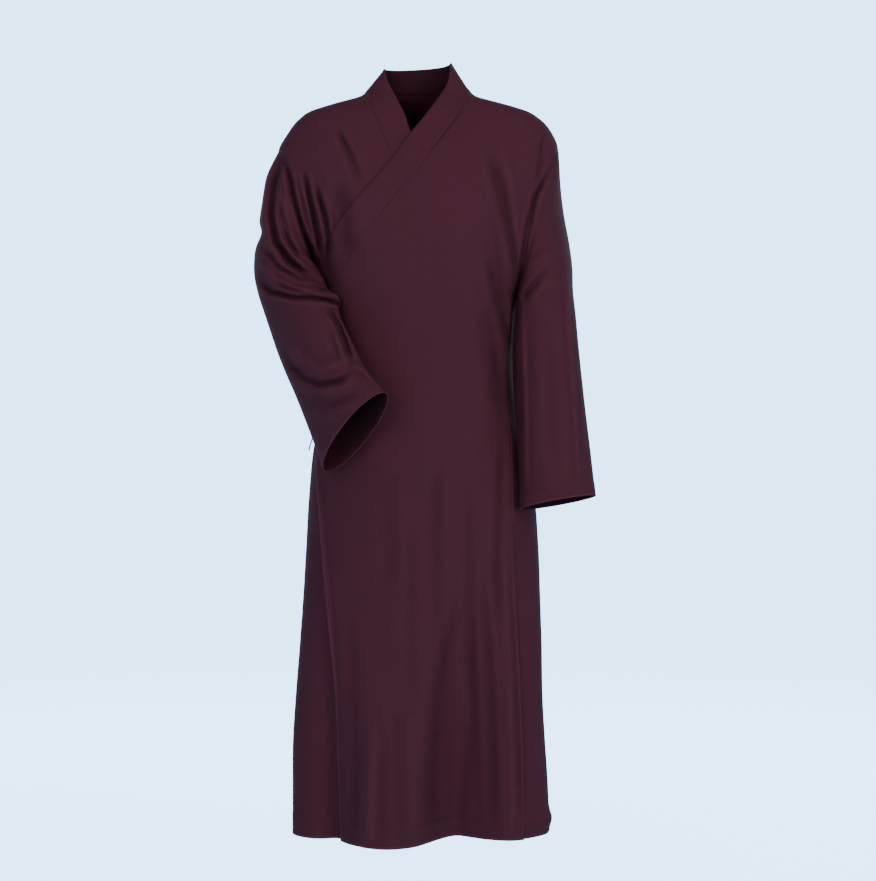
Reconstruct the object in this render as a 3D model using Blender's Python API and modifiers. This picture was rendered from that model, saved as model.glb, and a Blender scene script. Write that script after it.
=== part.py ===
# Long robe with a crossed collar, in the hollow form it has when it is worn.
# Height 0 is the shoulder line at the neck, X is 0 at the middle of the body,
# the front faces -Y and the wearer's left side is at +X.
import math

import bmesh
import bpy
import numpy as np

# Driving sizes in metres
HEM = -1.305
SLIT_TOP = -0.79
ARMPIT_LEFT = -0.360
ARMPIT_RIGHT = -0.300
SHOULDER_TIP = -0.0995
NECK_SEAM = 0.014
ARMHOLE_HALF_DEPTH = 0.070
WALL = 0.0016
SEAM_GAP = 0.0005
ARMHOLE_GAP = 0.0012
ARMPIT_GAP = 0.0018
NECK_GAP = 0.0012
OVERLAP_LIFT = 0.0045
SKIRT_SINK = 0.005
SLIT_TUCK = 0.0045
SLIT_OVERLAP = 0.016
SLIT_FADE = (0.06, 0.005)
TUCK_WIDTH = 0.065
TUCK_FROM_EDGE = 0.035
TUCK_FADE = (0.02, 0.05)
TIE_WIDTH = 0.014
TIE_STAND_OFF = 0.004

# How finely each piece is divided
SKIRT_ROWS = 8
SIDE_ROWS = 6
ARMHOLE_ROWS = 12
SHOULDER_COLUMNS = 11
NECK_COLUMNS = 10
OUTER_COLUMNS = 22
INNER_COLUMNS = 15
COLLAR_COLUMNS = 2
TIE_ROWS = 6
SECTION_STEPS = 90
SHOULDER_STEPS = 200
TOP_BEND_START = 0.72
NORMAL_REACH = 0.004

# Where the large folds fade: share of a fold's length beyond its ends, and how near the
# line of the sides the cloth has to be
FOLD_FADE = 0.15
FOLD_END_FADE = 0.25
FOLD_SIDE_FADE = 0.05

# Where the outer front starts to lie out: x from its side, and height from the neck
LIFT_X = (0.112, 0.155)
LIFT_Z = (-0.072, -0.030)
# Where the inner front hangs in: x from its side, and height below the waist
SINK_X = (-0.105, -0.070)
SINK_Z = (-0.85, -0.60)
# Heights between which the gap at the collar seam widens towards the neck
NECK_GAP_Z = (-0.06, 0.0)

# Outside of the body at each height: half width on the wearer's right and left, depth of the
# front and the back from the line of the sides, how far forward that line lies, and roundness
FORM_COLUMNS = ("height", "right", "left", "front", "back", "side_line", "power")
FORM = (
    (-1.305, 0.2215, 0.2325, 0.104, 0.150, -0.008, 2.2),
    (-1.220, 0.2216, 0.2300, 0.105, 0.148, -0.008, 2.2),
    (-1.140, 0.2211, 0.2250, 0.107, 0.146, -0.007, 2.2),
    (-1.075, 0.2172, 0.2212, 0.110, 0.145, -0.006, 2.2),
    (-0.966, 0.2088, 0.2192, 0.115, 0.143, -0.004, 2.2),
    (-0.895, 0.2038, 0.2170, 0.119, 0.140, -0.002, 2.2),
    (-0.802, 0.1983, 0.2138, 0.124, 0.136, 0.000, 2.2),
    (-0.713, 0.1935, 0.2070, 0.128, 0.130, 0.003, 2.2),
    (-0.628, 0.1855, 0.1900, 0.130, 0.123, 0.005, 2.3),
    (-0.550, 0.1700, 0.1755, 0.130, 0.118, 0.006, 2.3),
    (-0.450, 0.1610, 0.1670, 0.129, 0.117, 0.005, 2.4),
    (-0.360, 0.1690, 0.1745, 0.129, 0.122, 0.000, 2.4),
    (-0.300, 0.1840, 0.1860, 0.128, 0.127, 0.000, 2.4),
    (-0.238, 0.1950, 0.1960, 0.125, 0.129, 0.000, 2.4),
    (-0.181, 0.2070, 0.2077, 0.118, 0.127, 0.000, 2.4),
    (-0.144, 0.2250, 0.2268, 0.111, 0.122, 0.000, 2.3),
    (-0.0995, 0.2475, 0.2490, 0.098, 0.112, 0.000, 2.2),
    (-0.069, 0.2330, 0.2400, 0.085, 0.101, 0.000, 2.2),
    (-0.039, 0.2090, 0.2145, 0.071, 0.087, 0.000, 2.2),
    (-0.029, 0.1955, 0.1990, 0.065, 0.081, 0.000, 2.2),
    (-0.0155, 0.1560, 0.1580, 0.056, 0.071, 0.000, 2.2),
    (0.000, 0.1035, 0.1050, 0.046, 0.061, 0.000, 2.2),
    (0.014, 0.0890, 0.0895, 0.040, 0.055, 0.000, 2.2),
    (0.030, 0.0755, 0.0785, 0.036, 0.050, 0.000, 2.2),
    (0.050, 0.0600, 0.0655, 0.033, 0.047, 0.000, 2.2),
    (0.062, 0.0560, 0.0580, 0.032, 0.046, 0.000, 2.2),
    (0.080, 0.0520, 0.0540, 0.031, 0.045, 0.000, 2.2),
)

# Where the free edge of the outer front runs below the collar band, seen from the front:
# height, x
OUTER_EDGE = (
    (-1.305, -0.137),
    (-1.197, -0.140),
    (-1.037, -0.144),
    (-0.992, -0.148),
    (-0.888, -0.156),
    (-0.803, -0.163),
    (-0.723, -0.169),
    (-0.649, -0.174),
    (-0.550, -0.161),
    (-0.450, -0.149),
    (-0.390, -0.150),
)

# Side seam of the wearer's left, which goes on below the slit as the front's free edge:
# height, x
LEFT_SEAM = (
    (-1.305, 0.185),
    (-1.172, 0.183),
    (-0.985, 0.175),
    (-0.797, 0.166),
    (-0.700, 0.163),
    (-0.550, 0.160),
    (-0.450, 0.157),
    (-0.360, 0.1745),
)

# Side seam of the wearer's right, hidden by the outer front: height, x
RIGHT_SEAM = (
    (-1.305, -0.128),
    (-1.172, -0.131),
    (-0.985, -0.139),
    (-0.803, -0.153),
    (-0.700, -0.161),
    (-0.550, -0.160),
    (-0.450, -0.154),
    (-0.360, -0.166),
    (-0.300, -0.184),
)

# Free edge of the inner front, under the outer one: height, x
INNER_EDGE = (
    (-1.305, 0.092),
    (-1.000, 0.091),
    (-0.700, 0.088),
    (-0.450, 0.085),
    (-0.390, 0.083),
)

# Collar band from its lower end to the neck point, seen from the front:
# the free edge and the line where the band is sewn to the panel,
# as edge x, edge z, seam x, seam z
OUTER_BAND = (
    (-0.1580, -0.3350, -0.1510, -0.3850),
    (-0.1560, -0.2830, -0.1320, -0.3250),
    (-0.1380, -0.2410, -0.1000, -0.2700),
    (-0.1100, -0.2040, -0.0620, -0.2220),
    (-0.0760, -0.1650, -0.0270, -0.1790),
    (-0.0420, -0.1230, 0.0000, -0.1490),
    (-0.0100, -0.0765, 0.0310, -0.1040),
    (0.0156, -0.0417, 0.0560, -0.0700),
    (0.0356, -0.0112, 0.0750, -0.0400),
    (0.0532, 0.0225, 0.0850, -0.0120),
    (0.0580, 0.0617, 0.0895, 0.0140),
)
INNER_BAND = (
    (0.0830, -0.3350, 0.0820, -0.3850),
    (0.0790, -0.2750, 0.0620, -0.3300),
    (0.0560, -0.2050, 0.0250, -0.2550),
    (0.0200, -0.1400, -0.0200, -0.1740),
    (-0.0122, -0.0752, -0.0540, -0.0980),
    (-0.0235, -0.0400, -0.0670, -0.0640),
    (-0.0365, -0.0121, -0.0780, -0.0360),
    (-0.0548, 0.0281, -0.0860, -0.0100),
    (-0.0596, 0.0500, -0.0890, 0.0140),
)
NECK_BACK_TOP = 0.058

# Large soft folds: where each starts and ends, seen from the front, its half width at both
# ends and how far it stands out (positive) or in (negative) at both ends,
# as top x, top z, foot x, foot z, top width, foot width, top depth, foot depth
FRONT_FOLDS = (
    (-0.050, -0.800, -0.058, -1.305, 0.070, 0.056, 0.002, 0.038),
    (0.085, -0.800, 0.075, -1.305, 0.028, 0.0565, -0.001, -0.073),
    (-0.152, -0.900, -0.152, -1.305, 0.020, 0.028, -0.001, -0.028),
    (0.132, -0.120, 0.158, -0.360, 0.016, 0.015, -0.004, -0.010),
    (0.120, -0.330, 0.160, -0.560, 0.015, 0.017, -0.004, -0.009),
    (-0.185, -0.150, -0.158, -0.350, 0.018, 0.018, -0.005, -0.010),
)
BACK_FOLDS = (
    (0.080, -0.700, 0.110, -1.305, 0.030, 0.040, -0.002, -0.022),
    (0.020, -0.760, 0.030, -1.305, 0.030, 0.045, 0.002, 0.012),
    (-0.050, -0.680, -0.070, -1.305, 0.030, 0.040, -0.002, -0.024),
    (-0.120, -0.800, -0.140, -1.305, 0.030, 0.035, 0.002, 0.012),
    (0.190, -1.000, 0.205, -1.305, 0.030, 0.035, 0.001, 0.014),
    (0.090, -0.160, 0.130, -0.360, 0.018, 0.020, -0.004, -0.008),
    (-0.090, -0.160, -0.130, -0.360, 0.018, 0.020, -0.004, -0.008),
)

# Sections along each sleeve from the armhole to the cuff: the outer and the inner
# point in the arm's own plane and the depth in front of it and behind it,
# as outer x, y, z, inner x, y, z, front depth, back depth
LEFT_SLEEVE = (
    (0.2490, 0.000, -0.0995, 0.1745, 0.000, -0.3600, 0.070, 0.070),
    (0.2515, -0.001, -0.1300, 0.1800, -0.001, -0.3605, 0.073, 0.072),
    (0.2535, -0.003, -0.1650, 0.1815, -0.003, -0.3650, 0.074, 0.073),
    (0.2580, -0.007, -0.2090, 0.1810, -0.007, -0.3750, 0.074, 0.073),
    (0.2660, -0.012, -0.2550, 0.1795, -0.013, -0.3880, 0.073, 0.072),
    (0.2720, -0.018, -0.3000, 0.1775, -0.020, -0.4060, 0.070, 0.069),
    (0.2735, -0.026, -0.3450, 0.1750, -0.028, -0.4300, 0.066, 0.066),
    (0.2780, -0.034, -0.3930, 0.1735, -0.036, -0.4620, 0.063, 0.063),
    (0.2820, -0.043, -0.4450, 0.1730, -0.045, -0.5000, 0.060, 0.060),
    (0.2870, -0.054, -0.5020, 0.1730, -0.056, -0.5440, 0.057, 0.057),
    (0.2925, -0.065, -0.5600, 0.1740, -0.067, -0.5930, 0.054, 0.054),
    (0.2985, -0.075, -0.6160, 0.1755, -0.077, -0.6420, 0.052, 0.052),
    (0.3035, -0.083, -0.6650, 0.1770, -0.085, -0.6900, 0.050, 0.050),
    (0.3080, -0.089, -0.7070, 0.1777, -0.091, -0.7300, 0.049, 0.049),
)
RIGHT_SLEEVE = (
    (-0.2475, 0.000, -0.0995, -0.1840, 0.000, -0.3000, 0.070, 0.070),
    (-0.2580, 0.004, -0.1180, -0.1900, -0.004, -0.3030, 0.072, 0.070),
    (-0.2690, 0.009, -0.1420, -0.1920, -0.012, -0.3150, 0.072, 0.069),
    (-0.2740, 0.014, -0.1680, -0.1920, -0.022, -0.3270, 0.070, 0.068),
    (-0.2755, 0.019, -0.1960, -0.1900, -0.036, -0.3380, 0.068, 0.066),
    (-0.2745, 0.023, -0.2250, -0.1870, -0.052, -0.3460, 0.065, 0.063),
    (-0.2730, 0.026, -0.2540, -0.1820, -0.070, -0.3530, 0.062, 0.058),
    (-0.2780, 0.026, -0.2850, -0.1760, -0.088, -0.3600, 0.059, 0.051),
    (-0.2760, 0.021, -0.3180, -0.1680, -0.106, -0.3670, 0.056, 0.045),
    (-0.2670, 0.011, -0.3520, -0.1590, -0.124, -0.3770, 0.054, 0.041),
    (-0.2560, -0.003, -0.3870, -0.1470, -0.141, -0.3915, 0.052, 0.038),
    (-0.2450, -0.020, -0.4230, -0.1330, -0.158, -0.4120, 0.050, 0.037),
    (-0.2330, -0.040, -0.4600, -0.1190, -0.173, -0.4370, 0.048, 0.036),
    (-0.2180, -0.062, -0.4980, -0.1050, -0.187, -0.4640, 0.046, 0.036),
    (-0.2010, -0.086, -0.5360, -0.0920, -0.200, -0.4860, 0.044, 0.035),
    (-0.1850, -0.111, -0.5760, -0.0780, -0.212, -0.5040, 0.042, 0.035),
    (-0.1680, -0.136, -0.6200, -0.0650, -0.222, -0.5190, 0.040, 0.035),
    (-0.1520, -0.160, -0.6640, -0.0525, -0.231, -0.5320, 0.038, 0.035),
)
ARMHOLE_BLEND_ROWS = 4
BEND_ROWS = 9
UNDERARM_SAG = (-0.012, 0.008, -0.022)

# Ties under the right arm: name, top height, foot height, distance behind the side line
TIES = (
    ("tie_front", -0.385, -0.625, -0.010),
    ("tie_side", -0.392, -0.590, 0.008),
)

CLOTH = (0.056, 0.0185, 0.0265)
CLOTH_DARK = (0.048, 0.0160, 0.0235)
CLOTH_ROUGHNESS = 0.82


def clear_scene():
    for item in list(bpy.data.objects):
        bpy.data.objects.remove(item, do_unlink=True)


def column(table, names, name):
    return np.array([row[names.index(name)] for row in table], dtype=float)


def smooth_curve(keys, values, places):
    """Reads a smooth curve through the given keys at the places asked for."""
    keys = np.asarray(keys, dtype=float)
    values = np.asarray(values, dtype=float)
    places = np.clip(np.asarray(places, dtype=float), keys[0], keys[-1])
    steps = np.diff(keys)
    slopes = np.diff(values) / steps
    tangents = np.empty(len(keys))
    tangents[0] = slopes[0]
    tangents[-1] = slopes[-1]
    tangents[1:-1] = (slopes[:-1] * steps[1:] + slopes[1:] * steps[:-1]) / (steps[1:] + steps[:-1])
    turning = slopes[:-1] * slopes[1:] <= 0
    tangents[1:-1][turning] = 0
    spans = np.clip(np.searchsorted(keys, places, side="right") - 1, 0, len(keys) - 2)
    step = steps[spans]
    share = (places - keys[spans]) / step
    square = share * share
    cube = square * share
    return ((2 * cube - 3 * square + 1) * values[spans]
            + (cube - 2 * square + share) * step * tangents[spans]
            + (3 * square - 2 * cube) * values[spans + 1]
            + (cube - square) * step * tangents[spans + 1])


def soft_step(start, end, value):
    share = np.clip((value - start) / (end - start), 0, 1)
    return share * share * (3 - 2 * share)


FORM_HEIGHTS = column(FORM, FORM_COLUMNS, "height")


def form_size(name, height):
    return float(smooth_curve(FORM_HEIGHTS, column(FORM, FORM_COLUMNS, name), height))


def armpit(hand):
    return ARMPIT_LEFT if hand > 0 else ARMPIT_RIGHT


def armhole_half(height, hand):
    """Half the armhole's opening from front to back at a height."""
    middle = (SHOULDER_TIP + armpit(hand)) / 2
    reach = (SHOULDER_TIP - armpit(hand)) / 2
    share = (height - middle) / reach
    if abs(share) >= 1:
        return 0.0
    return ARMHOLE_HALF_DEPTH * math.sqrt(1 - share * share)


def half_section(height, side):
    """Outline of the front (-1) or the back (1) at a height, from the wearer's left to right."""
    depth = form_size("front" if side < 0 else "back", height)
    power = form_size("power", height)
    line = form_size("side_line", height)
    halves = []
    for hand, name in ((1, "left"), (-1, "right")):
        cut = math.asin(min(1.0, (armhole_half(height, hand) / depth) ** (power / 2)))
        width = form_size(name, height) / math.cos(cut) ** (2 / power)
        angles = np.linspace(cut, math.pi / 2, SECTION_STEPS + 1)
        x = hand * width * np.abs(np.cos(angles)) ** (2 / power)
        y = line + side * depth * np.sin(angles) ** (2 / power)
        halves.append((x, y))
    x = np.concatenate((halves[0][0], halves[1][0][::-1][1:]))
    y = np.concatenate((halves[0][1], halves[1][1][::-1][1:]))
    return x, y


def whole_section(height, side):
    """Closed outline with the middle of the front or the back at its centre, and its lengths."""
    near_x, near_y = half_section(height, side)
    far_x, far_y = half_section(height, -side)
    middle = SECTION_STEPS
    x = np.concatenate((far_x[middle::-1][:-1], near_x, far_x[middle:][::-1][1:]))
    y = np.concatenate((far_y[middle::-1][:-1], near_y, far_y[middle:][::-1][1:]))
    keep = np.concatenate(([True], np.hypot(np.diff(x), np.diff(y)) > 1e-9))
    x = x[keep]
    y = y[keep]
    lengths = np.concatenate(([0.0], np.cumsum(np.hypot(np.diff(x), np.diff(y)))))
    centre = np.argmax(side * y)
    return x, y, lengths[centre] - lengths


SECTIONS = {}


def section(height, side):
    key = (round(height, 6), side)
    if key not in SECTIONS:
        SECTIONS[key] = whole_section(height, side)
    return SECTIONS[key]


def across_from_x(height, x, side):
    """Length along the section from its middle to a point that shows at x from the front."""
    xs, ys, across = section(height, side)
    low = np.argmin(xs)
    high = np.argmax(xs)
    first, last = min(low, high), max(low, high)
    order = np.argsort(xs[first:last + 1])
    return float(np.interp(x, xs[first:last + 1][order], across[first:last + 1][order]))


def seam_across(height, side, hand):
    """Length along the section from its middle to the armhole or the shoulder seam."""
    xs, ys = half_section(height, side)
    total = np.concatenate(([0.0], np.cumsum(np.hypot(np.diff(xs), np.diff(ys)))))
    middle = np.argmax(side * ys)
    return float(total[middle]) if hand > 0 else -float(total[-1] - total[middle])


def fold_height(folds, x, z):
    """How far the folds move the cloth out at a point seen from the front."""
    total = 0.0
    for top_x, top_z, foot_x, foot_z, top_width, foot_width, top_depth, foot_depth in folds:
        share = (top_z - z) / (top_z - foot_z)
        if share < -FOLD_FADE or share > 1 + FOLD_END_FADE:
            continue
        along = min(max(share, 0.0), 1.0)
        middle = top_x + (foot_x - top_x) * along
        width = top_width + (foot_width - top_width) * along
        depth = top_depth + (foot_depth - top_depth) * along
        fade = soft_step(-FOLD_FADE, FOLD_FADE, share)
        if foot_z > HEM:
            fade = fade * (1 - soft_step(1 - FOLD_FADE, 1 + FOLD_END_FADE, share))
        total += depth * fade * math.exp(-((x - middle) / width) ** 2)
    return total


def body_point(side, across, height, lift=0.0):
    """Point of the body's cloth: length across from the middle, height, and distance out."""
    xs, ys, lengths = section(height, side)
    x = np.interp(-across, -lengths, xs)
    y = np.interp(-across, -lengths, ys)
    reach = NORMAL_REACH
    ahead_x = np.interp(-across + reach, -lengths, xs)
    ahead_y = np.interp(-across + reach, -lengths, ys)
    back_x = np.interp(-across - reach, -lengths, xs)
    back_y = np.interp(-across - reach, -lengths, ys)
    step_x = ahead_x - back_x
    step_y = ahead_y - back_y
    size = math.hypot(step_x, step_y)
    out_x = side * -step_y / size
    out_y = side * step_x / size
    centre_y = form_size("side_line", height)
    if out_y * (y - centre_y) + out_x * x < 0:
        out_x, out_y = -out_x, -out_y
    folds = FRONT_FOLDS if y < centre_y else BACK_FOLDS
    facing = min(1.0, abs(y - centre_y) / FOLD_SIDE_FADE)
    out = lift + fold_height(folds, x, height) * facing
    return (x + out_x * out, y + out_y * out, height)


def side_heights(hand):
    """Heights of the rows along a side: hem, slit, armpit, then round the armhole."""
    skirt = np.linspace(HEM, SLIT_TOP, SKIRT_ROWS + 1)
    side = np.linspace(SLIT_TOP, armpit(hand), SIDE_ROWS + 1)[1:]
    middle = (SHOULDER_TIP + armpit(hand)) / 2
    reach = (SHOULDER_TIP - armpit(hand)) / 2
    turn = np.linspace(math.pi, 0, ARMHOLE_ROWS + 1)[1:]
    return np.concatenate((skirt, side, middle + reach * np.cos(turn)))


def side_edge(side, hand, seam):
    """Side seam and armhole of a panel, as lengths across and heights."""
    heights = side_heights(hand)
    places = []
    for height in heights:
        if height <= armpit(hand) + 1e-6:
            keys = [row[0] for row in seam]
            x = float(smooth_curve(keys, [row[1] for row in seam], height))
            place = across_from_x(height, x, side) - hand * SEAM_GAP
        else:
            place = seam_across(height, side, hand) - hand * ARMHOLE_GAP
        places.append((place, height))
    return np.array(places)


def shoulder_edge(side, hand, steps):
    """Shoulder seam from its tip to the neck, as lengths across and heights."""
    heights = shoulder_heights(steps)
    return np.array([(seam_across(height, side, hand) - hand * SEAM_GAP, height)
                     for height in heights])


def shoulder_heights(steps):
    """Heights along the shoulder seam, spread so that its points are evenly apart."""
    fine = np.linspace(SHOULDER_TIP, NECK_SEAM, SHOULDER_STEPS)
    widths = smooth_curve(FORM_HEIGHTS, column(FORM, FORM_COLUMNS, "left"), fine)
    along = np.concatenate(([0.0], np.cumsum(np.hypot(np.diff(widths), np.diff(fine)))))
    return np.interp(np.linspace(0, along[-1], steps + 1), along, fine)


def fill_patch(left, right, top):
    """Spreads a net of points between the sides of a piece and under its top edge."""
    left_share = shares(left)
    right_share = shares(right)
    top_share = shares(top)
    evenly = np.linspace(0, 1, len(top))
    net = np.empty((len(left), len(top), 2))
    for row in range(len(left)):
        for place in range(len(top)):
            rise = left_share[row] + (right_share[row] - left_share[row]) * evenly[place]
            across = evenly[place] + (top_share[place] - evenly[place]) * rise
            side_point = (1 - across) * left[row] + across * right[row]
            top_bend = top[place] - (1 - across) * top[0] - across * top[-1]
            net[row, place] = side_point + soft_step(TOP_BEND_START, 1, rise) * top_bend
    return net


def shares(edge):
    lengths = np.concatenate(([0.0], np.cumsum(np.linalg.norm(np.diff(edge, axis=0), axis=1))))
    return lengths / lengths[-1]


def straight(start, end, steps):
    return np.array([start + (end - start) * step / steps for step in range(steps + 1)])


def outer_lift(x, z):
    """The outer front lies a little out where the inner front is under it."""
    return OVERLAP_LIFT * (1 - soft_step(*LIFT_X, x)) * (1 - soft_step(*LIFT_Z, z))


def inner_sink(x, z):
    """In the skirt the inner front hangs a little further in, clear of the outer one."""
    return -SKIRT_SINK * soft_step(*SINK_X, x) * (1 - soft_step(*SINK_Z, z))


def band_line(band, first, steps):
    """Points evenly along one line of a collar band, from its lower end to the neck."""
    line = np.array([row[first:first + 2] for row in band])
    share = shares(line)
    places = np.linspace(0, 1, steps + 1)
    x = smooth_curve(share, line[:, 0], places)
    z = smooth_curve(share, line[:, 1], places)
    return np.column_stack((x, z))


def free_edge(edge_table, band, hand):
    """Free edge of a front, then its collar seam up to the neck point."""
    heights = side_heights(1)
    free_rows = SKIRT_ROWS + SIDE_ROWS
    free_top = edge_table[-1][0]
    places = []
    for row in range(free_rows):
        height = HEM + (free_top - HEM) * (heights[row] - HEM) / (heights[free_rows - 1] - HEM)
        keys = [line[0] for line in edge_table]
        x = float(smooth_curve(keys, [line[1] for line in edge_table], height))
        places.append((across_from_x(height, x, -1), height))
    seam = band_line(band, 2, ARMHOLE_ROWS)
    for x, z in seam:
        place = across_from_x(z, x, -1)
        places.append((place + hand * SEAM_GAP, z))
    return np.array(places)


def lay_net(side, net, lift_at):
    """Turns a net of lengths across and heights into points of the cloth."""
    points = []
    for row in net:
        line = []
        for across, height in row:
            height = min(height, FORM_HEIGHTS[-1])
            flat = body_point(side, across, height)
            line.append(body_point(side, across, height, lift_at(flat[0], height, across)))
        points.append(line)
    return np.array(points)


def outer_front_points():
    left = side_edge(-1, 1, LEFT_SEAM)
    right = free_edge(OUTER_EDGE, OUTER_BAND, 1)
    top = shoulder_edge(-1, 1, OUTER_COLUMNS)
    top[0] = left[-1]
    right[-1] = top[-1]
    net = fill_patch(left, right, top)
    return lay_net(-1, net, lambda x, z, across: outer_lift(x, z))


def inner_front_points():
    left = side_edge(-1, -1, RIGHT_SEAM)
    right = free_edge(INNER_EDGE, INNER_BAND, -1)
    top = shoulder_edge(-1, -1, INNER_COLUMNS)
    top[0] = left[-1]
    right[-1] = top[-1]
    net = fill_patch(left, right, top)
    return lay_net(-1, net, lambda x, z, across: inner_sink(x, z))


def back_side_edge(hand, seam):
    """Side of the back: it meets the front down to the slit and is tucked behind it below."""
    heights = side_heights(hand)
    places = []
    for height in heights:
        if height <= armpit(hand) + 1e-6:
            keys = [row[0] for row in seam]
            x = float(smooth_curve(keys, [row[1] for row in seam], height))
            tuck = 1 - soft_step(SLIT_TOP - SLIT_FADE[0], SLIT_TOP - SLIT_FADE[1], height)
            front_place = across_from_x(height, x, -1)
            lengths = section(height, -1)[2]
            half_girth = abs(lengths[0] if hand > 0 else lengths[-1])
            place = half_girth - abs(front_place) + SLIT_OVERLAP * tuck - SEAM_GAP * (1 - tuck)
        else:
            place = abs(seam_across(height, 1, hand)) - ARMHOLE_GAP
        places.append((hand * place, height))
    return np.array(places)


def back_top():
    """Shoulder seams and back neck in one line from the wearer's left to the right."""
    left = shoulder_edge(1, 1, SHOULDER_COLUMNS)
    right = shoulder_edge(1, -1, SHOULDER_COLUMNS)[::-1]
    neck = straight(left[-1], right[0], NECK_COLUMNS)[1:-1]
    return np.vstack((left, neck, right))


def back_points():
    left = back_side_edge(1, LEFT_SEAM)
    right = back_side_edge(-1, RIGHT_SEAM)
    top = back_top()
    top[0] = left[-1]
    top[-1] = right[-1]
    net = fill_patch(left, right, top)
    half = abs(left[0][0])

    def tuck(x, z, across):
        inner = half - TUCK_FROM_EDGE
        edge = soft_step(inner - TUCK_WIDTH, inner, abs(across))
        above = soft_step(SLIT_TOP - TUCK_FADE[0], SLIT_TOP + TUCK_FADE[1], z)
        return -SLIT_TUCK * edge * (1 - above)
    return lay_net(1, net, tuck)


def band_strip(band, hand):
    """One front length of the collar band, from its lower end to the neck point."""
    seam = band_line(band, 2, ARMHOLE_ROWS)
    edge = band_line(band, 0, ARMHOLE_ROWS)
    rows = []
    for (seam_x, seam_z), (edge_x, edge_z) in zip(seam, edge):
        gap = SEAM_GAP + (NECK_GAP - SEAM_GAP) * soft_step(*NECK_GAP_Z, seam_z)
        seam_place = across_from_x(seam_z, seam_x, -1) - hand * gap
        seam_z = seam_z + (gap - SEAM_GAP)
        edge_place = across_from_x(edge_z, edge_x, -1)
        line = []
        for step in range(COLLAR_COLUMNS + 1):
            share = step / COLLAR_COLUMNS
            height = seam_z + (edge_z - seam_z) * share
            place = seam_place + (edge_place - seam_place) * share
            lift = outer_lift(edge_x, edge_z) if hand > 0 else 0.0
            line.append(body_point(-1, place, height, lift))
        rows.append(line)
    return rows


def neck_strip():
    """The length of the collar band behind the neck."""
    low = back_top()[SHOULDER_COLUMNS:SHOULDER_COLUMNS + NECK_COLUMNS + 1]
    left_tip = OUTER_BAND[-1]
    right_tip = INNER_BAND[-1]
    shares_across = np.linspace(0, 1, NECK_COLUMNS + 1)
    tops = smooth_curve((0, 0.5, 1), (left_tip[1], NECK_BACK_TOP, right_tip[1]), shares_across)
    rows = []
    for place, top in enumerate(tops):
        turn = 1 - 2 * shares_across[place]
        line = []
        for step in range(COLLAR_COLUMNS + 1):
            share = step / COLLAR_COLUMNS
            seam = low[place][1] + NECK_GAP
            height = seam + (top - seam) * share
            across = turn * abs(seam_across(height, 1, 1 if turn > 0 else -1))
            line.append(body_point(1, across, height))
        rows.append(line)
    return rows


def collar_points():
    outer = band_strip(OUTER_BAND, 1)
    inner = band_strip(INNER_BAND, -1)
    return np.array(outer + neck_strip()[1:-1] + inner[::-1])


def armhole_ring(hand):
    """The armhole as the sleeve meets it, from the shoulder tip round the front."""
    heights = side_heights(hand)[SKIRT_ROWS + SIDE_ROWS:][::-1]
    name = "left" if hand > 0 else "right"
    front = [(hand * form_size(name, z), -armhole_half(z, hand), z) for z in heights]
    back = [(x, -y, z) for x, y, z in front[1:-1][::-1]]
    ring = np.array(front + back)
    drop = (SHOULDER_TIP - ring[:, 2]) / (SHOULDER_TIP - armpit(hand))
    ring[:, 2] += ARMPIT_GAP * drop ** 2
    return ring


def sleeve_points(table, hand):
    """Rings of a sleeve from the armhole to the cuff."""
    outer = np.array([row[0:3] for row in table])
    inner = np.array([row[3:6] for row in table])
    centre = (outer + inner) / 2
    along = np.gradient(centre, axis=0)
    count = 2 * ARMHOLE_ROWS
    turns = np.linspace(0, 2 * math.pi, count, endpoint=False)
    ring = armhole_ring(hand)
    first = centre[0] + np.outer(np.cos(turns), (outer[0] - inner[0]) / 2)
    first[:, 1] -= np.sin(turns) * table[0][6]
    spare = ring - first
    rings = []
    for row, line in enumerate(table):
        reach = (outer[row] - inner[row]) / 2
        forward = np.cross(reach, along[row])
        forward = forward / np.linalg.norm(forward)
        if forward[1] > 0:
            forward = -forward
        turned = min(1.0, row / ARMHOLE_BLEND_ROWS)
        forward = forward * turned + np.array((0.0, -1.0, 0.0)) * (1 - turned)
        depths = np.where(np.sin(turns) > 0, line[6], line[7]) * np.sin(turns)
        points = centre[row] + np.outer(np.cos(turns), reach) + np.outer(depths, forward)
        rings.append(points + spare * (1 - turned) ** 2)
    rings = np.array(rings)
    if hand < 0:
        smooth_back(rings, shares(centre[:BEND_ROWS + 1]))
    start = rings[1] - rings[0]
    rings[0] += start / np.linalg.norm(start, axis=1)[:, None] * ARMHOLE_GAP
    return rings


def smooth_back(rings, along):
    """Runs the body side of the bent sleeve evenly from the armhole to below the elbow."""
    half = ARMHOLE_ROWS
    for row in range(1, BEND_ROWS):
        even = rings[0] + (rings[BEND_ROWS] - rings[0]) * along[row]
        bow = rings[row] - even
        for place in range(half + 1, 2 * half):
            turn = (place - half) / half
            sag = math.sin(math.pi * turn) * math.sin(math.pi * along[row])
            rings[row, place] = (even[place] + bow[half] * (1 - turn) + bow[0] * turn
                                 + sag * np.array(UNDERARM_SAG))


def tie_points(top, foot, shift_y):
    """A narrow tie that hangs down the wearer's right side."""
    rows = []
    for height in np.linspace(top, foot, TIE_ROWS + 1):
        line = []
        for edge in (-0.5, 0.5):
            y = form_size("side_line", height) + shift_y + edge * TIE_WIDTH
            xs, ys, lengths = section(height, -1 if y < form_size("side_line", height) else 1)
            hidden = xs > 0
            order = np.argsort(ys[~hidden])
            x = float(np.interp(y, ys[~hidden][order], xs[~hidden][order]))
            line.append((x - TIE_STAND_OFF, y, height))
        rows.append(line)
    return np.array(rows)


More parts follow.
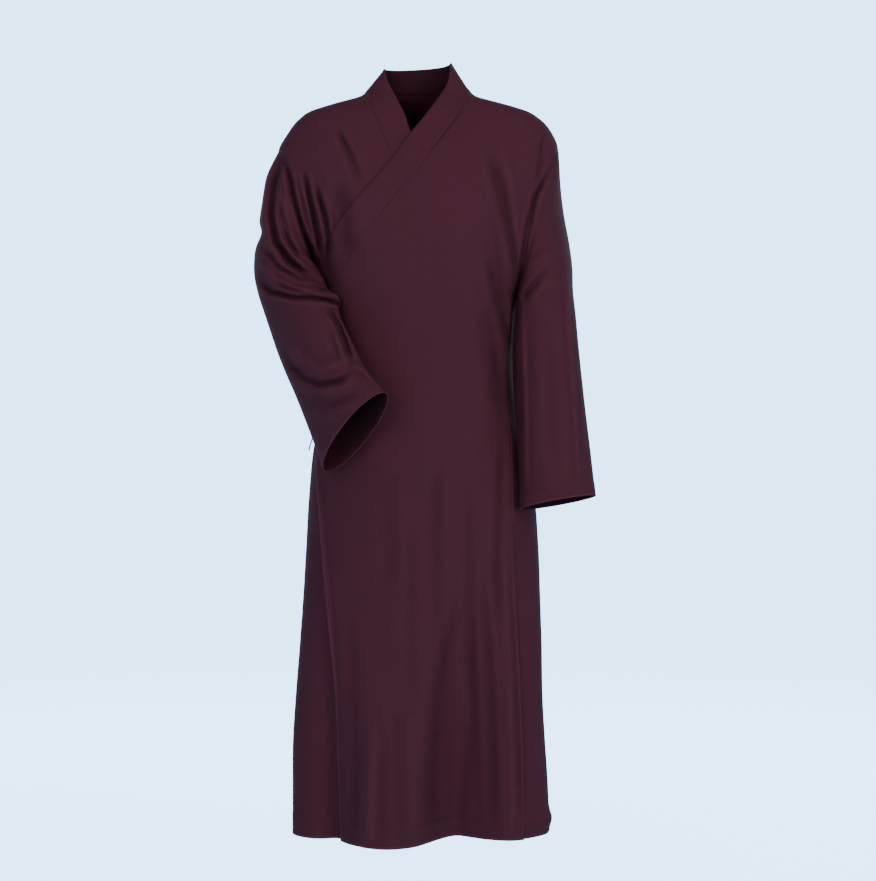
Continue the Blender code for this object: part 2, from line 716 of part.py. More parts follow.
def cloth_material(name, colour):
    material = bpy.data.materials.new(name)
    material.use_nodes = True
    shader = material.node_tree.nodes["Principled BSDF"]
    shader.inputs["Base Color"].default_value = (*colour, 1.0)
    shader.inputs["Roughness"].default_value = CLOTH_ROUGHNESS
    shader.inputs["Metallic"].default_value = 0.0
    return material


def add_cloth(name, points, group, material, closed=False):
    """Makes one cut piece: an open net of faces with a wall given by Solidify."""
    rows, columns = points.shape[0], points.shape[1]
    net = bmesh.new()
    vertices = [[net.verts.new(point) for point in line] for line in points]
    across = columns if closed else columns - 1
    for row in range(rows - 1):
        for place in range(across):
            beside = (place + 1) % columns
            net.faces.new((vertices[row][place], vertices[row][beside],
                           vertices[row + 1][beside], vertices[row + 1][place]))
    bmesh.ops.recalc_face_normals(net, faces=net.faces)
    mesh = bpy.data.meshes.new(name)
    net.to_mesh(mesh)
    net.free()
    mesh.shade_smooth()
    mesh.materials.append(material)
    item = bpy.data.objects.new(name, mesh)
    group.objects.link(item)
    wall = item.modifiers.new("wall", "SOLIDIFY")
    wall.thickness = WALL
    wall.offset = 0.0
    wall.use_even_offset = True
    return item


def build():
    clear_scene()
    group = bpy.data.collections.new("buddhist_monk_robe")
    bpy.context.scene.collection.children.link(group)
    main = cloth_material("robe cloth", CLOTH)
    dark = cloth_material("robe cloth in shade", CLOTH_DARK)
    add_cloth("back", back_points(), group, main)
    add_cloth("front_outer", outer_front_points(), group, main)
    add_cloth("front_inner", inner_front_points(), group, dark)
    add_cloth("sleeve_left", sleeve_points(LEFT_SLEEVE, 1), group, main, closed=True)
    add_cloth("sleeve_right", sleeve_points(RIGHT_SLEEVE, -1), group, main, closed=True)
    add_cloth("collar", collar_points(), group, main)
    for name, top, foot, shift_y in TIES:
        add_cloth(name, tie_points(top, foot, shift_y), group, dark)


build()
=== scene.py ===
import math

import bpy
import numpy as np
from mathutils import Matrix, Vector


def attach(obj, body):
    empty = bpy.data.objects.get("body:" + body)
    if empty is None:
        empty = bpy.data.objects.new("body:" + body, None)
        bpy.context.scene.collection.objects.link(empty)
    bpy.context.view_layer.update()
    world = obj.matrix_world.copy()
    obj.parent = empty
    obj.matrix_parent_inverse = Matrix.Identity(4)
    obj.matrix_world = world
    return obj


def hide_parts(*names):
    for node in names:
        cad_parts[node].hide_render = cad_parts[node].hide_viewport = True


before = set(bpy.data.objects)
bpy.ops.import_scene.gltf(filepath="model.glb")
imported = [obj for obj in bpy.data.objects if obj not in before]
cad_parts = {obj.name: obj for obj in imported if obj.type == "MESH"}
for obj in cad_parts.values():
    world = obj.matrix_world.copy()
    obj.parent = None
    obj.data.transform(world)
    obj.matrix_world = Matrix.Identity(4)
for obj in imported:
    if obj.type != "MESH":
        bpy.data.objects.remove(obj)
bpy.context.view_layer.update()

print("frame loaded", len(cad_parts), "nodes")

# Sizes of the robe in metres, the same ones its solids are made from
robe = dict(hem=-1.305, slitTop=-0.79, armpitLeft=-0.360, armpitRight=-0.300, shoulderTip=-0.0995,
            neckSeam=0.014, armholeDepth=0.070, seamGap=-0.0006, armholeGap=-0.0008,
            neckGap=-0.0006, overlapLift=0.0045, skirtSink=0.005,
            slitTuck=0.0045, slitOverlap=0.016, tieWidth=0.014, topBendStart=0.72)

# How finely the cloth is divided: rows up the skirt, side and armhole, then columns
fine = dict(hemRows=16, hemStep=0.003, skirtRows=104, sideRows=100, armholeRows=70,
            shoulderColumns=44, neckColumns=40, outerColumns=118, innerColumns=76,
            sleeveRound=168, sleeveStep=0.0031, collarAcross=12, sectionSteps=90)

# height, right, left, front, back, sideLine, power
formTable = (
    (-1.305, 0.2215, 0.2325, 0.104, 0.150, -0.008, 2.2),
    (-1.220, 0.2216, 0.2300, 0.105, 0.148, -0.008, 2.2),
    (-1.140, 0.2211, 0.2250, 0.107, 0.146, -0.007, 2.2),
    (-1.075, 0.2172, 0.2212, 0.110, 0.145, -0.006, 2.2),
    (-0.966, 0.2088, 0.2192, 0.115, 0.143, -0.004, 2.2),
    (-0.895, 0.2038, 0.2170, 0.119, 0.140, -0.002, 2.2),
    (-0.802, 0.1983, 0.2138, 0.124, 0.136, 0.000, 2.2),
    (-0.713, 0.1935, 0.2070, 0.128, 0.130, 0.003, 2.2),
    (-0.628, 0.1855, 0.1900, 0.130, 0.123, 0.005, 2.3),
    (-0.550, 0.1700, 0.1755, 0.130, 0.118, 0.006, 2.3),
    (-0.450, 0.1610, 0.1670, 0.129, 0.117, 0.005, 2.4),
    (-0.360, 0.1690, 0.1745, 0.129, 0.122, 0.000, 2.4),
    (-0.300, 0.1840, 0.1860, 0.128, 0.127, 0.000, 2.4),
    (-0.238, 0.1950, 0.1960, 0.125, 0.129, 0.000, 2.4),
    (-0.181, 0.2070, 0.2077, 0.118, 0.127, 0.000, 2.4),
    (-0.144, 0.2250, 0.2268, 0.111, 0.122, 0.000, 2.3),
    (-0.0995, 0.2475, 0.2490, 0.098, 0.112, 0.000, 2.2),
    (-0.069, 0.2330, 0.2400, 0.085, 0.101, 0.000, 2.2),
    (-0.039, 0.2090, 0.2145, 0.071, 0.087, 0.000, 2.2),
    (-0.029, 0.1955, 0.1990, 0.065, 0.081, 0.000, 2.2),
    (-0.0155, 0.1560, 0.1580, 0.056, 0.071, 0.000, 2.2),
    (0.000, 0.1035, 0.1050, 0.046, 0.061, 0.000, 2.2),
    (0.014, 0.0890, 0.0895, 0.040, 0.055, 0.000, 2.2),
    (0.030, 0.0755, 0.0785, 0.036, 0.050, 0.000, 2.2),
    (0.050, 0.0600, 0.0655, 0.033, 0.047, 0.000, 2.2),
    (0.062, 0.0560, 0.0580, 0.032, 0.046, 0.000, 2.2),
    (0.080, 0.0520, 0.0540, 0.031, 0.045, 0.000, 2.2),
)
outerEdge = ((-1.305, -0.137), (-1.197, -0.140), (-1.037, -0.144), (-0.992, -0.148),
             (-0.888, -0.156), (-0.803, -0.163), (-0.723, -0.169), (-0.649, -0.174),
             (-0.550, -0.161), (-0.450, -0.149), (-0.390, -0.150))
innerEdge = ((-1.305, 0.092), (-1.000, 0.091), (-0.700, 0.088), (-0.450, 0.085), (-0.390, 0.083))
leftSeam = ((-1.305, 0.185), (-1.172, 0.183), (-0.985, 0.175), (-0.797, 0.166),
            (-0.700, 0.163), (-0.550, 0.160), (-0.450, 0.157), (-0.360, 0.1745))
rightSeam = ((-1.305, -0.128), (-1.172, -0.131), (-0.985, -0.139), (-0.803, -0.153),
             (-0.700, -0.161), (-0.550, -0.160), (-0.450, -0.154), (-0.360, -0.166),
             (-0.300, -0.184))

# edgeX, edgeZ, seamX, seamZ
outerBand = (
    (-0.1580, -0.3350, -0.1510, -0.3850),
    (-0.1560, -0.2830, -0.1320, -0.3250),
    (-0.1380, -0.2410, -0.1000, -0.2700),
    (-0.1100, -0.2040, -0.0620, -0.2220),
    (-0.0760, -0.1650, -0.0270, -0.1790),
    (-0.0420, -0.1230, 0.0000, -0.1490),
    (-0.0100, -0.0765, 0.0310, -0.1040),
    (0.0156, -0.0417, 0.0560, -0.0700),
    (0.0356, -0.0112, 0.0750, -0.0400),
    (0.0532, 0.0225, 0.0850, -0.0120),
    (0.0580, 0.0617, 0.0895, 0.0140),
)
innerBand = (
    (0.0830, -0.3350, 0.0820, -0.3850),
    (0.0790, -0.2750, 0.0620, -0.3300),
    (0.0560, -0.2050, 0.0250, -0.2550),
    (0.0200, -0.1400, -0.0200, -0.1740),
    (-0.0122, -0.0752, -0.0540, -0.0980),
    (-0.0235, -0.0400, -0.0670, -0.0640),
    (-0.0365, -0.0121, -0.0780, -0.0360),
    (-0.0548, 0.0281, -0.0860, -0.0100),
    (-0.0596, 0.0500, -0.0890, 0.0140),
)
neckBackTop = 0.058

# topX, topZ, footX, footZ, topWidth, footWidth, topDepth, footDepth
frontFolds = (
    (-0.044, -0.800, -0.044, -1.305, 0.070, 0.057, 0.002, 0.038),
    (0.085, -0.800, 0.075, -1.305, 0.028, 0.0565, -0.001, -0.073),
    (-0.152, -0.900, -0.152, -1.305, 0.020, 0.028, -0.001, -0.028),
    (0.132, -0.120, 0.158, -0.360, 0.016, 0.015, -0.004, -0.010),
    (0.120, -0.330, 0.160, -0.560, 0.015, 0.017, -0.004, -0.009),
    (-0.185, -0.150, -0.158, -0.350, 0.018, 0.018, -0.005, -0.010),
)
backFolds = (
    (0.080, -0.700, 0.110, -1.305, 0.030, 0.040, -0.002, -0.022),
    (0.020, -0.760, 0.030, -1.305, 0.030, 0.045, 0.002, 0.012),
    (-0.050, -0.680, -0.070, -1.305, 0.030, 0.040, -0.002, -0.024),
    (-0.120, -0.800, -0.140, -1.305, 0.030, 0.035, 0.002, 0.012),
    (0.190, -1.000, 0.205, -1.305, 0.030, 0.035, 0.001, 0.014),
    (0.090, -0.160, 0.130, -0.360, 0.018, 0.020, -0.004, -0.008),
    (-0.090, -0.160, -0.130, -0.360, 0.018, 0.020, -0.004, -0.008),
    (0.158, -0.335, 0.163, -0.640, 0.024, 0.022, 0.036, 0.022),
    (-0.155, -0.290, -0.150, -0.560, 0.026, 0.024, 0.032, 0.012),
)

# outerX, outerY, outerZ, innerX, innerY, innerZ, frontDepth, backDepth
leftSleeve = (
    (0.2490, 0.000, -0.0995, 0.1745, 0.000, -0.3600, 0.070, 0.070),
    (0.2515, -0.001, -0.1300, 0.1800, -0.001, -0.3605, 0.073, 0.072),
    (0.2535, -0.003, -0.1650, 0.1815, -0.003, -0.3650, 0.074, 0.073),
    (0.2580, -0.007, -0.2090, 0.1810, -0.007, -0.3750, 0.074, 0.073),
    (0.2660, -0.012, -0.2550, 0.1795, -0.013, -0.3880, 0.073, 0.072),
    (0.2720, -0.018, -0.3000, 0.1775, -0.020, -0.4060, 0.070, 0.069),
    (0.2735, -0.026, -0.3450, 0.1750, -0.028, -0.4300, 0.066, 0.066),
    (0.2780, -0.034, -0.3930, 0.1735, -0.036, -0.4620, 0.063, 0.063),
    (0.2820, -0.043, -0.4450, 0.1730, -0.045, -0.5000, 0.060, 0.060),
    (0.2870, -0.054, -0.5020, 0.1730, -0.056, -0.5440, 0.057, 0.057),
    (0.2925, -0.065, -0.5600, 0.1740, -0.067, -0.5930, 0.054, 0.054),
    (0.2985, -0.075, -0.6160, 0.1755, -0.077, -0.6420, 0.052, 0.052),
    (0.3035, -0.083, -0.6650, 0.1770, -0.085, -0.6900, 0.050, 0.050),
    (0.3080, -0.089, -0.7070, 0.1777, -0.091, -0.7300, 0.049, 0.049),
)
rightSleeve = (
    (-0.2475, 0.000, -0.0995, -0.1840, 0.000, -0.3000, 0.070, 0.070),
    (-0.2580, 0.004, -0.1180, -0.1900, -0.004, -0.3030, 0.072, 0.070),
    (-0.2690, 0.009, -0.1420, -0.1920, -0.012, -0.3150, 0.072, 0.069),
    (-0.2740, 0.014, -0.1680, -0.1920, -0.022, -0.3270, 0.070, 0.068),
    (-0.2755, 0.019, -0.1960, -0.1900, -0.036, -0.3380, 0.068, 0.066),
    (-0.2745, 0.023, -0.2250, -0.1870, -0.052, -0.3460, 0.065, 0.063),
    (-0.2730, 0.026, -0.2540, -0.1820, -0.070, -0.3530, 0.062, 0.058),
    (-0.2780, 0.026, -0.2850, -0.1760, -0.088, -0.3600, 0.059, 0.051),
    (-0.2760, 0.021, -0.3180, -0.1680, -0.106, -0.3670, 0.056, 0.045),
    (-0.2670, 0.011, -0.3520, -0.1590, -0.124, -0.3770, 0.054, 0.041),
    (-0.2560, -0.003, -0.3870, -0.1470, -0.141, -0.3915, 0.052, 0.038),
    (-0.2450, -0.020, -0.4230, -0.1330, -0.158, -0.4120, 0.050, 0.037),
    (-0.2330, -0.040, -0.4600, -0.1190, -0.173, -0.4370, 0.048, 0.036),
    (-0.2180, -0.062, -0.4980, -0.1050, -0.187, -0.4640, 0.046, 0.036),
    (-0.2010, -0.086, -0.5360, -0.0920, -0.200, -0.4860, 0.044, 0.035),
    (-0.1850, -0.111, -0.5760, -0.0780, -0.212, -0.5040, 0.042, 0.035),
    (-0.1680, -0.136, -0.6200, -0.0650, -0.222, -0.5190, 0.040, 0.035),
    (-0.1520, -0.160, -0.6640, -0.0525, -0.231, -0.5320, 0.038, 0.035),
)
sleeveShape = dict(ringSteps=24, blendRows=4, bendRows=9, underarmSag=(-0.012, 0.008, -0.022))

view = dict(x=0.0356, y=-3.2, z=-0.611, lens=73.5, sensor=36.0)


# --- the robe's form, read from the tables ---
def softStep(start, end, value):
    share = np.clip((value - start) / (end - start), 0, 1)
    return share * share * (3 - 2 * share)


def readCurve(keys, values, places):
    keys = np.asarray(keys, dtype=float)
    values = np.asarray(values, dtype=float)
    places = np.clip(np.asarray(places, dtype=float), keys[0], keys[-1])
    steps = np.diff(keys)
    slopes = np.diff(values) / steps
    tangents = np.empty(len(keys))
    tangents[0] = slopes[0]
    tangents[-1] = slopes[-1]
    tangents[1:-1] = (slopes[:-1] * steps[1:] + slopes[1:] * steps[:-1]) / (steps[1:] + steps[:-1])
    tangents[1:-1][slopes[:-1] * slopes[1:] <= 0] = 0
    spans = np.clip(np.searchsorted(keys, places, side="right") - 1, 0, len(keys) - 2)
    step = steps[spans]
    share = (places - keys[spans]) / step
    square = share * share
    cube = square * share
    return ((2 * cube - 3 * square + 1) * values[spans] + (cube - 2 * square + share) * step * tangents[spans]
            + (3 * square - 2 * cube) * values[spans + 1] + (cube - square) * step * tangents[spans + 1])


formNames = ("height", "right", "left", "front", "back", "sideLine", "power")
formColumns = {name: np.array([row[k] for row in formTable]) for k, name in enumerate(formNames)}


def formSize(name, height):
    return readCurve(formColumns["height"], formColumns[name], height)


def armpit(hand):
    return robe["armpitLeft"] if hand > 0 else robe["armpitRight"]


def armholeHalf(height, hand):
    middle = (robe["shoulderTip"] + armpit(hand)) / 2
    reach = (robe["shoulderTip"] - armpit(hand)) / 2
    share = (height - middle) / reach
    return 0.0 if abs(share) >= 1 else robe["armholeDepth"] * math.sqrt(1 - share * share)


def halfSection(height, side):
    depth = float(formSize("front" if side < 0 else "back", height))
    power = float(formSize("power", height))
    line = float(formSize("sideLine", height))
    halves = []
    for hand, name in ((1, "left"), (-1, "right")):
        cut = math.asin(min(1.0, (armholeHalf(height, hand) / depth) ** (power / 2)))
        width = float(formSize(name, height)) / math.cos(cut) ** (2 / power)
        angles = np.linspace(cut, math.pi / 2, fine["sectionSteps"] + 1)
        halves.append((hand * width * np.abs(np.cos(angles)) ** (2 / power),
                       line + side * depth * np.sin(angles) ** (2 / power)))
    return (np.concatenate((halves[0][0], halves[1][0][::-1][1:])),
            np.concatenate((halves[0][1], halves[1][1][::-1][1:])))


sectionStore = {}


def section(height, side):
    key = (round(float(height), 5), side)
    if key not in sectionStore:
        nearX, nearY = halfSection(height, side)
        farX, farY = halfSection(height, -side)
        middle = fine["sectionSteps"]
        x = np.concatenate((farX[middle::-1][:-1], nearX, farX[middle:][::-1][1:]))
        y = np.concatenate((farY[middle::-1][:-1], nearY, farY[middle:][::-1][1:]))
        keep = np.concatenate(([True], np.hypot(np.diff(x), np.diff(y)) > 1e-9))
        x, y = x[keep], y[keep]
        lengths = np.concatenate(([0.0], np.cumsum(np.hypot(np.diff(x), np.diff(y)))))
        sectionStore[key] = (x, y, lengths[np.argmax(side * y)] - lengths)
    return sectionStore[key]


def acrossFromX(height, x, side):
    xs, ys, across = section(height, side)
    low, high = np.argmin(xs), np.argmax(xs)
    first, last = min(low, high), max(low, high)
    order = np.argsort(xs[first:last + 1])
    return float(np.interp(x, xs[first:last + 1][order], across[first:last + 1][order]))


def seamAcross(height, side, hand):
    xs, ys = halfSection(height, side)
    total = np.concatenate(([0.0], np.cumsum(np.hypot(np.diff(xs), np.diff(ys)))))
    middle = np.argmax(side * ys)
    return float(total[middle]) if hand > 0 else -float(total[-1] - total[middle])


# Every section is read once into a grid, so that whole nets are looked up together
gridStep = 0.001
gridHeights = np.arange(robe["hem"] - 0.004, 0.0795, gridStep)
gridAcross = np.linspace(-0.60, 0.60, 601)
surfaceGrid = {}
for side in (-1, 1):
    gridX = np.empty((len(gridHeights), len(gridAcross)))
    gridY = np.empty_like(gridX)
    for k, height in enumerate(gridHeights):
        xs, ys, lengths = section(height, side)
        gridX[k] = np.interp(-gridAcross, -lengths, xs)
        gridY[k] = np.interp(-gridAcross, -lengths, ys)
    surfaceGrid[side] = (gridX, gridY)
print("form read", len(gridHeights), "sections")


def surfaceAt(side, across, height):
    row = np.clip((height - gridHeights[0]) / gridStep, 0, len(gridHeights) - 1.001)
    column = np.clip((across - gridAcross[0]) / (gridAcross[1] - gridAcross[0]), 0, len(gridAcross) - 1.001)
    r, c = row.astype(int), column.astype(int)
    down, along = row - r, column - c
    found = []
    for grid in surfaceGrid[side]:
        low = grid[r, c] * (1 - along) + grid[r, c + 1] * along
        high = grid[r + 1, c] * (1 - along) + grid[r + 1, c + 1] * along
        found.append(low * (1 - down) + high * down)
    return found


def foldHeight(folds, x, z):
    total = np.zeros_like(x)
    for topX, topZ, footX, footZ, topWidth, footWidth, topDepth, footDepth in folds:
        share = (topZ - z) / (topZ - footZ)
        along = np.clip(share, 0, 1)
        fade = softStep(-0.15, 0.15, share)
        if footZ > robe["hem"]:
            fade = fade * (1 - softStep(0.85, 1.25, share))
        middle = topX + (footX - topX) * along
        width = topWidth + (footWidth - topWidth) * along
        depth = topDepth + (footDepth - topDepth) * along
        total += depth * fade * np.exp(-((x - middle) / width) ** 2)
    return total


def bodyPoints(side, across, height, liftAt):
    height = np.minimum(height, gridHeights[-1])
    x, y = surfaceAt(side, across, height)
    reach = 0.004
    aheadX, aheadY = surfaceAt(side, across - reach, height)
    backX, backY = surfaceAt(side, across + reach, height)
    stepX, stepY = aheadX - backX, aheadY - backY
    size = np.hypot(stepX, stepY)
    outX, outY = -side * stepY / size, side * stepX / size
    centreY = formSize("sideLine", height)
    wrong = np.where(outY * (y - centreY) + outX * x < 0, -1.0, 1.0)
    outX, outY = outX * wrong, outY * wrong
    folds = np.where(y < centreY, foldHeight(frontFolds, x, height), foldHeight(backFolds, x, height))
    out = liftAt(x, height, across) + folds * np.minimum(1, np.abs(y - centreY) / 0.05)
    return np.stack((x + outX * out, y + outY * out, height), axis=-1)


# --- outlines of the cut pieces ---
def sideHeights(hand):
    hemRows = robe["hem"] + fine["hemStep"] * np.arange(fine["hemRows"])
    skirt = np.linspace(hemRows[-1] + fine["hemStep"], robe["slitTop"], fine["skirtRows"])
    sideRows = np.linspace(robe["slitTop"], armpit(hand), fine["sideRows"] + 1)[1:]
    middle = (robe["shoulderTip"] + armpit(hand)) / 2
    reach = (robe["shoulderTip"] - armpit(hand)) / 2
    turn = np.linspace(math.pi, 0, fine["armholeRows"] + 1)[1:]
    return np.concatenate((hemRows, skirt, sideRows, middle + reach * np.cos(turn)))


def seamX(seam, height):
    return float(readCurve([row[0] for row in seam], [row[1] for row in seam], height))


def sideEdge(side, hand, seam):
    places = []
    for height in sideHeights(hand):
        if height <= armpit(hand) + 1e-6:
            place = acrossFromX(height, seamX(seam, height), side) - hand * robe["seamGap"]
        else:
            place = seamAcross(height, side, hand) - hand * robe["armholeGap"]
        places.append((place, height))
    return np.array(places)


def backSideEdge(hand, seam):
    places = []
    for height in sideHeights(hand):
        if height <= armpit(hand) + 1e-6:
            tuck = 1 - softStep(robe["slitTop"] - 0.06, robe["slitTop"] - 0.005, height)
            frontPlace = acrossFromX(height, seamX(seam, height), -1)
            lengths = section(height, -1)[2]
            halfGirth = abs(lengths[0] if hand > 0 else lengths[-1])
            place = halfGirth - abs(frontPlace) + robe["slitOverlap"] * tuck - robe["seamGap"] * (1 - tuck)
        else:
            place = abs(seamAcross(height, 1, hand)) - robe["armholeGap"]
        places.append((hand * place, height))
    return np.array(places)


def shoulderHeights(steps):
    fineZ = np.linspace(robe["shoulderTip"], robe["neckSeam"], 200)
    widths = formSize("left", fineZ)
    along = np.concatenate(([0.0], np.cumsum(np.hypot(np.diff(widths), np.diff(fineZ)))))
    return np.interp(np.linspace(0, along[-1], steps + 1), along, fineZ)


def shoulderEdge(side, hand, steps):
    return np.array([(seamAcross(height, side, hand) - hand * robe["seamGap"], height)
                     for height in shoulderHeights(steps)])


def shares(edge):
    lengths = np.concatenate(([0.0], np.cumsum(np.linalg.norm(np.diff(edge, axis=0), axis=1))))
    return lengths / lengths[-1]


def bandLine(band, first, steps):
    line = np.array([row[first:first + 2] for row in band])
    places = np.linspace(0, 1, steps + 1)
    share = shares(line)
    return np.column_stack((readCurve(share, line[:, 0], places), readCurve(share, line[:, 1], places)))


def freeEdge(edgeTable, band, hand):
    heights = sideHeights(1)
    freeRows = len(heights) - fine["armholeRows"] - 1
    freeTop = edgeTable[-1][0]
    places = []
    for row in range(freeRows):
        share = (heights[row] - robe["hem"]) / (heights[freeRows] - robe["hem"])
        height = robe["hem"] + (freeTop - robe["hem"]) * share
        places.append((acrossFromX(height, seamX(edgeTable, height), -1), height))
    for x, z in bandLine(band, 2, fine["armholeRows"]):
        places.append((acrossFromX(z, x, -1) + hand * robe["seamGap"], z))
    return np.array(places)


def fillPatch(left, right, top):
    leftShare, rightShare, topShare = shares(left)[:, None], shares(right)[:, None], shares(top)[None, :]
    evenly = np.linspace(0, 1, len(top))[None, :]
    rise = leftShare + (rightShare - leftShare) * evenly
    across = (evenly + (topShare - evenly) * rise)[..., None]
    sidePoint = (1 - across) * left[:, None, :] + across * right[:, None, :]
    topBend = top[None, :, :] - (1 - across) * top[0] - across * top[-1]
    return sidePoint + softStep(robe["topBendStart"], 1, rise)[..., None] * topBend


def outerLift(x, z):
    return robe["overlapLift"] * (1 - softStep(0.112, 0.155, x)) * (1 - softStep(-0.072, -0.030, z))


def innerSink(x, z):
    return -robe["skirtSink"] * softStep(-0.105, -0.070, x) * (1 - softStep(-0.85, -0.60, z))


def frontNet(hand, seam, edgeTable, band, columns):
    left = sideEdge(-1, hand, seam)
    right = freeEdge(edgeTable, band, hand)
    top = shoulderEdge(-1, hand, columns)
    top[0] = left[-1]
    right[-1] = top[-1]
    return fillPatch(left, right, top)


def backTop():
    left = shoulderEdge(1, 1, fine["shoulderColumns"])
    right = shoulderEdge(1, -1, fine["shoulderColumns"])[::-1]
    steps = np.linspace(0, 1, fine["neckColumns"] + 1)[1:-1, None]
    return np.vstack((left, left[-1] * (1 - steps) + right[0] * steps, right))


def backNet():
    left, right, top = backSideEdge(1, leftSeam), backSideEdge(-1, rightSeam), backTop()
    top[0], top[-1] = left[-1], right[-1]
    return fillPatch(left, right, top)


# --- creases: each a path in millimetres as seen from the front or from behind ---
def asSeen(points, facing):
    reach = (points[..., 1] - view["y"]) if facing < 0 else (-view["y"] - points[..., 1])
    scale = -view["y"] / reach
    return (view["x"] + (points[..., 0] - view["x"]) * scale,
            view["z"] + (points[..., 2] - view["z"]) * scale)


def creaseHeight(x, z, creases):
    total = np.zeros_like(x)
    for path, widths, depths in creases:
        line = np.array(path, dtype=float) / 1000
        lengths = np.concatenate(([0.0], np.cumsum(np.linalg.norm(np.diff(line, axis=0), axis=1))))
        nearest = np.full(x.shape, 9.0)
        share = np.zeros_like(x)
        for k in range(len(line) - 1):
            start, step = line[k], line[k + 1] - line[k]
            size = step @ step
            along = ((x - start[0]) * step[0] + (z - start[1]) * step[1]) / size
            held = np.clip(along, 0, 1)
            away = np.hypot(x - start[0] - step[0] * held, z - start[1] - step[1] * held)
            closer = away < nearest
            nearest = np.where(closer, away, nearest)
            share = np.where(closer, (lengths[k] + held * math.sqrt(size)) / lengths[-1], share)
        width = (widths[0] + (widths[1] - widths[0]) * share) / 1000
        depth = (depths[0] + (depths[1] - depths[0]) * share) / 1000
        ends = softStep(-0.02, 0.22, share) * (1 - softStep(0.78, 1.02, share))
        shape = np.exp(-(nearest / width) ** 2) - 0.35 * np.exp(-((nearest - 1.8 * width) / width) ** 2)
        total += depth * ends * shape
    return total


def netNormals(points, closed, outward):
    if closed:
        aroundStep = np.roll(points, -1, axis=1) - np.roll(points, 1, axis=1)
    else:
        aroundStep = np.gradient(points, axis=1)
    normals = np.cross(np.gradient(points, axis=0), aroundStep)
    normals /= np.linalg.norm(normals, axis=2)[..., None] + 1e-12
    if np.sum(normals * (points - outward)) < 0:
        normals = -normals
    return normals


def crease(points, normals, creases, facing, shade):
    x, z = asSeen(points, facing)
    mask = softStep(0.0, 0.35, normals[..., 1] * facing)
    height = creaseHeight(x, z, creases) * mask
    moved = points.copy()
    moved[..., 1] += facing * height
    shade += np.clip(-height / 0.010, -0.3, 1.0)  # painted shade deep in a crease, and a little painted highlight on its ridges
    return moved


ripples = dict(depth=0.0011, seed=11, count=9)
rippleChance = np.random.default_rng(ripples["seed"])
rippleWaves = [(rippleChance.uniform(18, 75), rippleChance.uniform(6, 34), rippleChance.uniform(0, 6.28))
               for k in range(ripples["count"])]


def ripple(points, normals):
    total = np.zeros(points.shape[:2])
    for across, down, start in rippleWaves:
        bend = 1.3 * np.sin(points[..., 2] * 7 + start * 2)
        slant = points[..., 0] * across + points[..., 1] * across * 0.8
        total += np.sin(slant + points[..., 2] * down + start + bend)
    moved = points.copy()
    moved[..., 1] += normals[..., 1] * total * ripples["depth"] / 2
    return moved


# Creases seen from the front: path in millimetres, half widths and depths at both ends
upperArmCreases = (  # they gather in the crook of the bent arm
    (((-239, -94), (-258, -158), (-262, -211), (-253, -258), (-231, -290), (-205, -311), (-176, -324)),
     (7, 5.5), (-12, -16)),
    (((-247, -176), (-244, -229), (-228, -265), (-205, -292)), (3.8, 3.6), (-3, -6)),
    (((-233, -133), (-237, -192), (-222, -251), (-198, -290)), (6, 4.5), (5, 7)),
    (((-239, -101), (-226, -163), (-205, -236), (-187, -281), (-173, -308)), (4.8, 4), (-9, -14)),
    (((-215, -176), (-201, -229), (-185, -272)), (3.8, 3.6), (4, 6)),
    (((-205, -126), (-190, -192), (-178, -247), (-171, -290)), (4.6, 3.8), (-9, -13)),
    (((-190, -155), (-176, -208), (-169, -254)), (3.8, 3.6), (4, 5)),
    (((-182, -158), (-164, -215), (-158, -254), (-162, -293)), (4.8, 4), (-8, -12)),
    (((-157, -190), (-150, -236), (-153, -286)), (4.5, 4.5), (-3, -5)),
    (((-146, -55), (-130, -87), (-117, -115), (-105, -158)), (5, 8), (-8, -3)),
    (((-141, -144), (-134, -219), (-123, -293)), (15, 17), (-5, -5)),
)
leftShoulderCreases = (
    (((249, -108), (226, -144), (208, -176), (196, -222), (187, -279), (178, -340)), (3.6, 4.2), (-3, -7)),
    (((231, -151), (214, -188), (205, -240)), (4.5, 4.5), (2.5, 3)),
    (((224, -62), (219, -108), (212, -155)), (5, 5), (-4, -4)),
    (((125, -94), (146, -165), (162, -240), (174, -304), (174, -343)), (9, 6), (-6, -8)),
    (((146, -94), (167, -158), (178, -229)), (8, 6), (3, 3)),
    (((121, -265), (146, -372), (166, -450), (173, -525)), (9, 7), (-5, -8)),
    (((103, -361), (123, -454), (146, -575)), (12, 12), (-2.5, -3)),
    (((176, -347), (174, -405), (173, -454)), (5, 6), (-8, -6)),
)
skirtCreases = (
    (((78, -888), (55, -966), (39, -1055), (28, -1180), (25, -1340)), (10, 16), (-3, -6.5)),
    (((112, -824), (123, -966), (132, -1144), (135, -1340)), (9, 12), (-4, -7)),
    (((151, -788), (160, -966), (166, -1144), (169, -1340)), (7, 8), (4, 6.5)),
    (((82, -1002), (85, -1144), (89, -1340)), (10, 14), (3, 5)),
    (((-77, -1109), (-84, -1189), (-89, -1272), (-91, -1340)), (9, 13), (6, 11)),
    (((-36, -1073), (-32, -1198), (-28, -1340)), (12, 15), (-2, -4)),
    (((34, -637), (30, -788), (39, -966)), (11, 10), (-3, -2)),
    (((-11, -753), (-14, -931), (-11, -1073)), (9, 10), (-2, -2)),
    (((89, -664), (94, -895), (89, -1109), (78, -1340)), (8, 11), (-2.5, -3)),
    (((151, -592), (146, -717), (141, -824), (142, -966)), (8, 7), (-4, -3)),
    (((-121, -895), (-114, -1073), (-117, -1340)), (10, 13), (-2, -4)),
    (((-59, -664), (-46, -788), (-52, -895)), (14, 14), (-2, -2)),
)
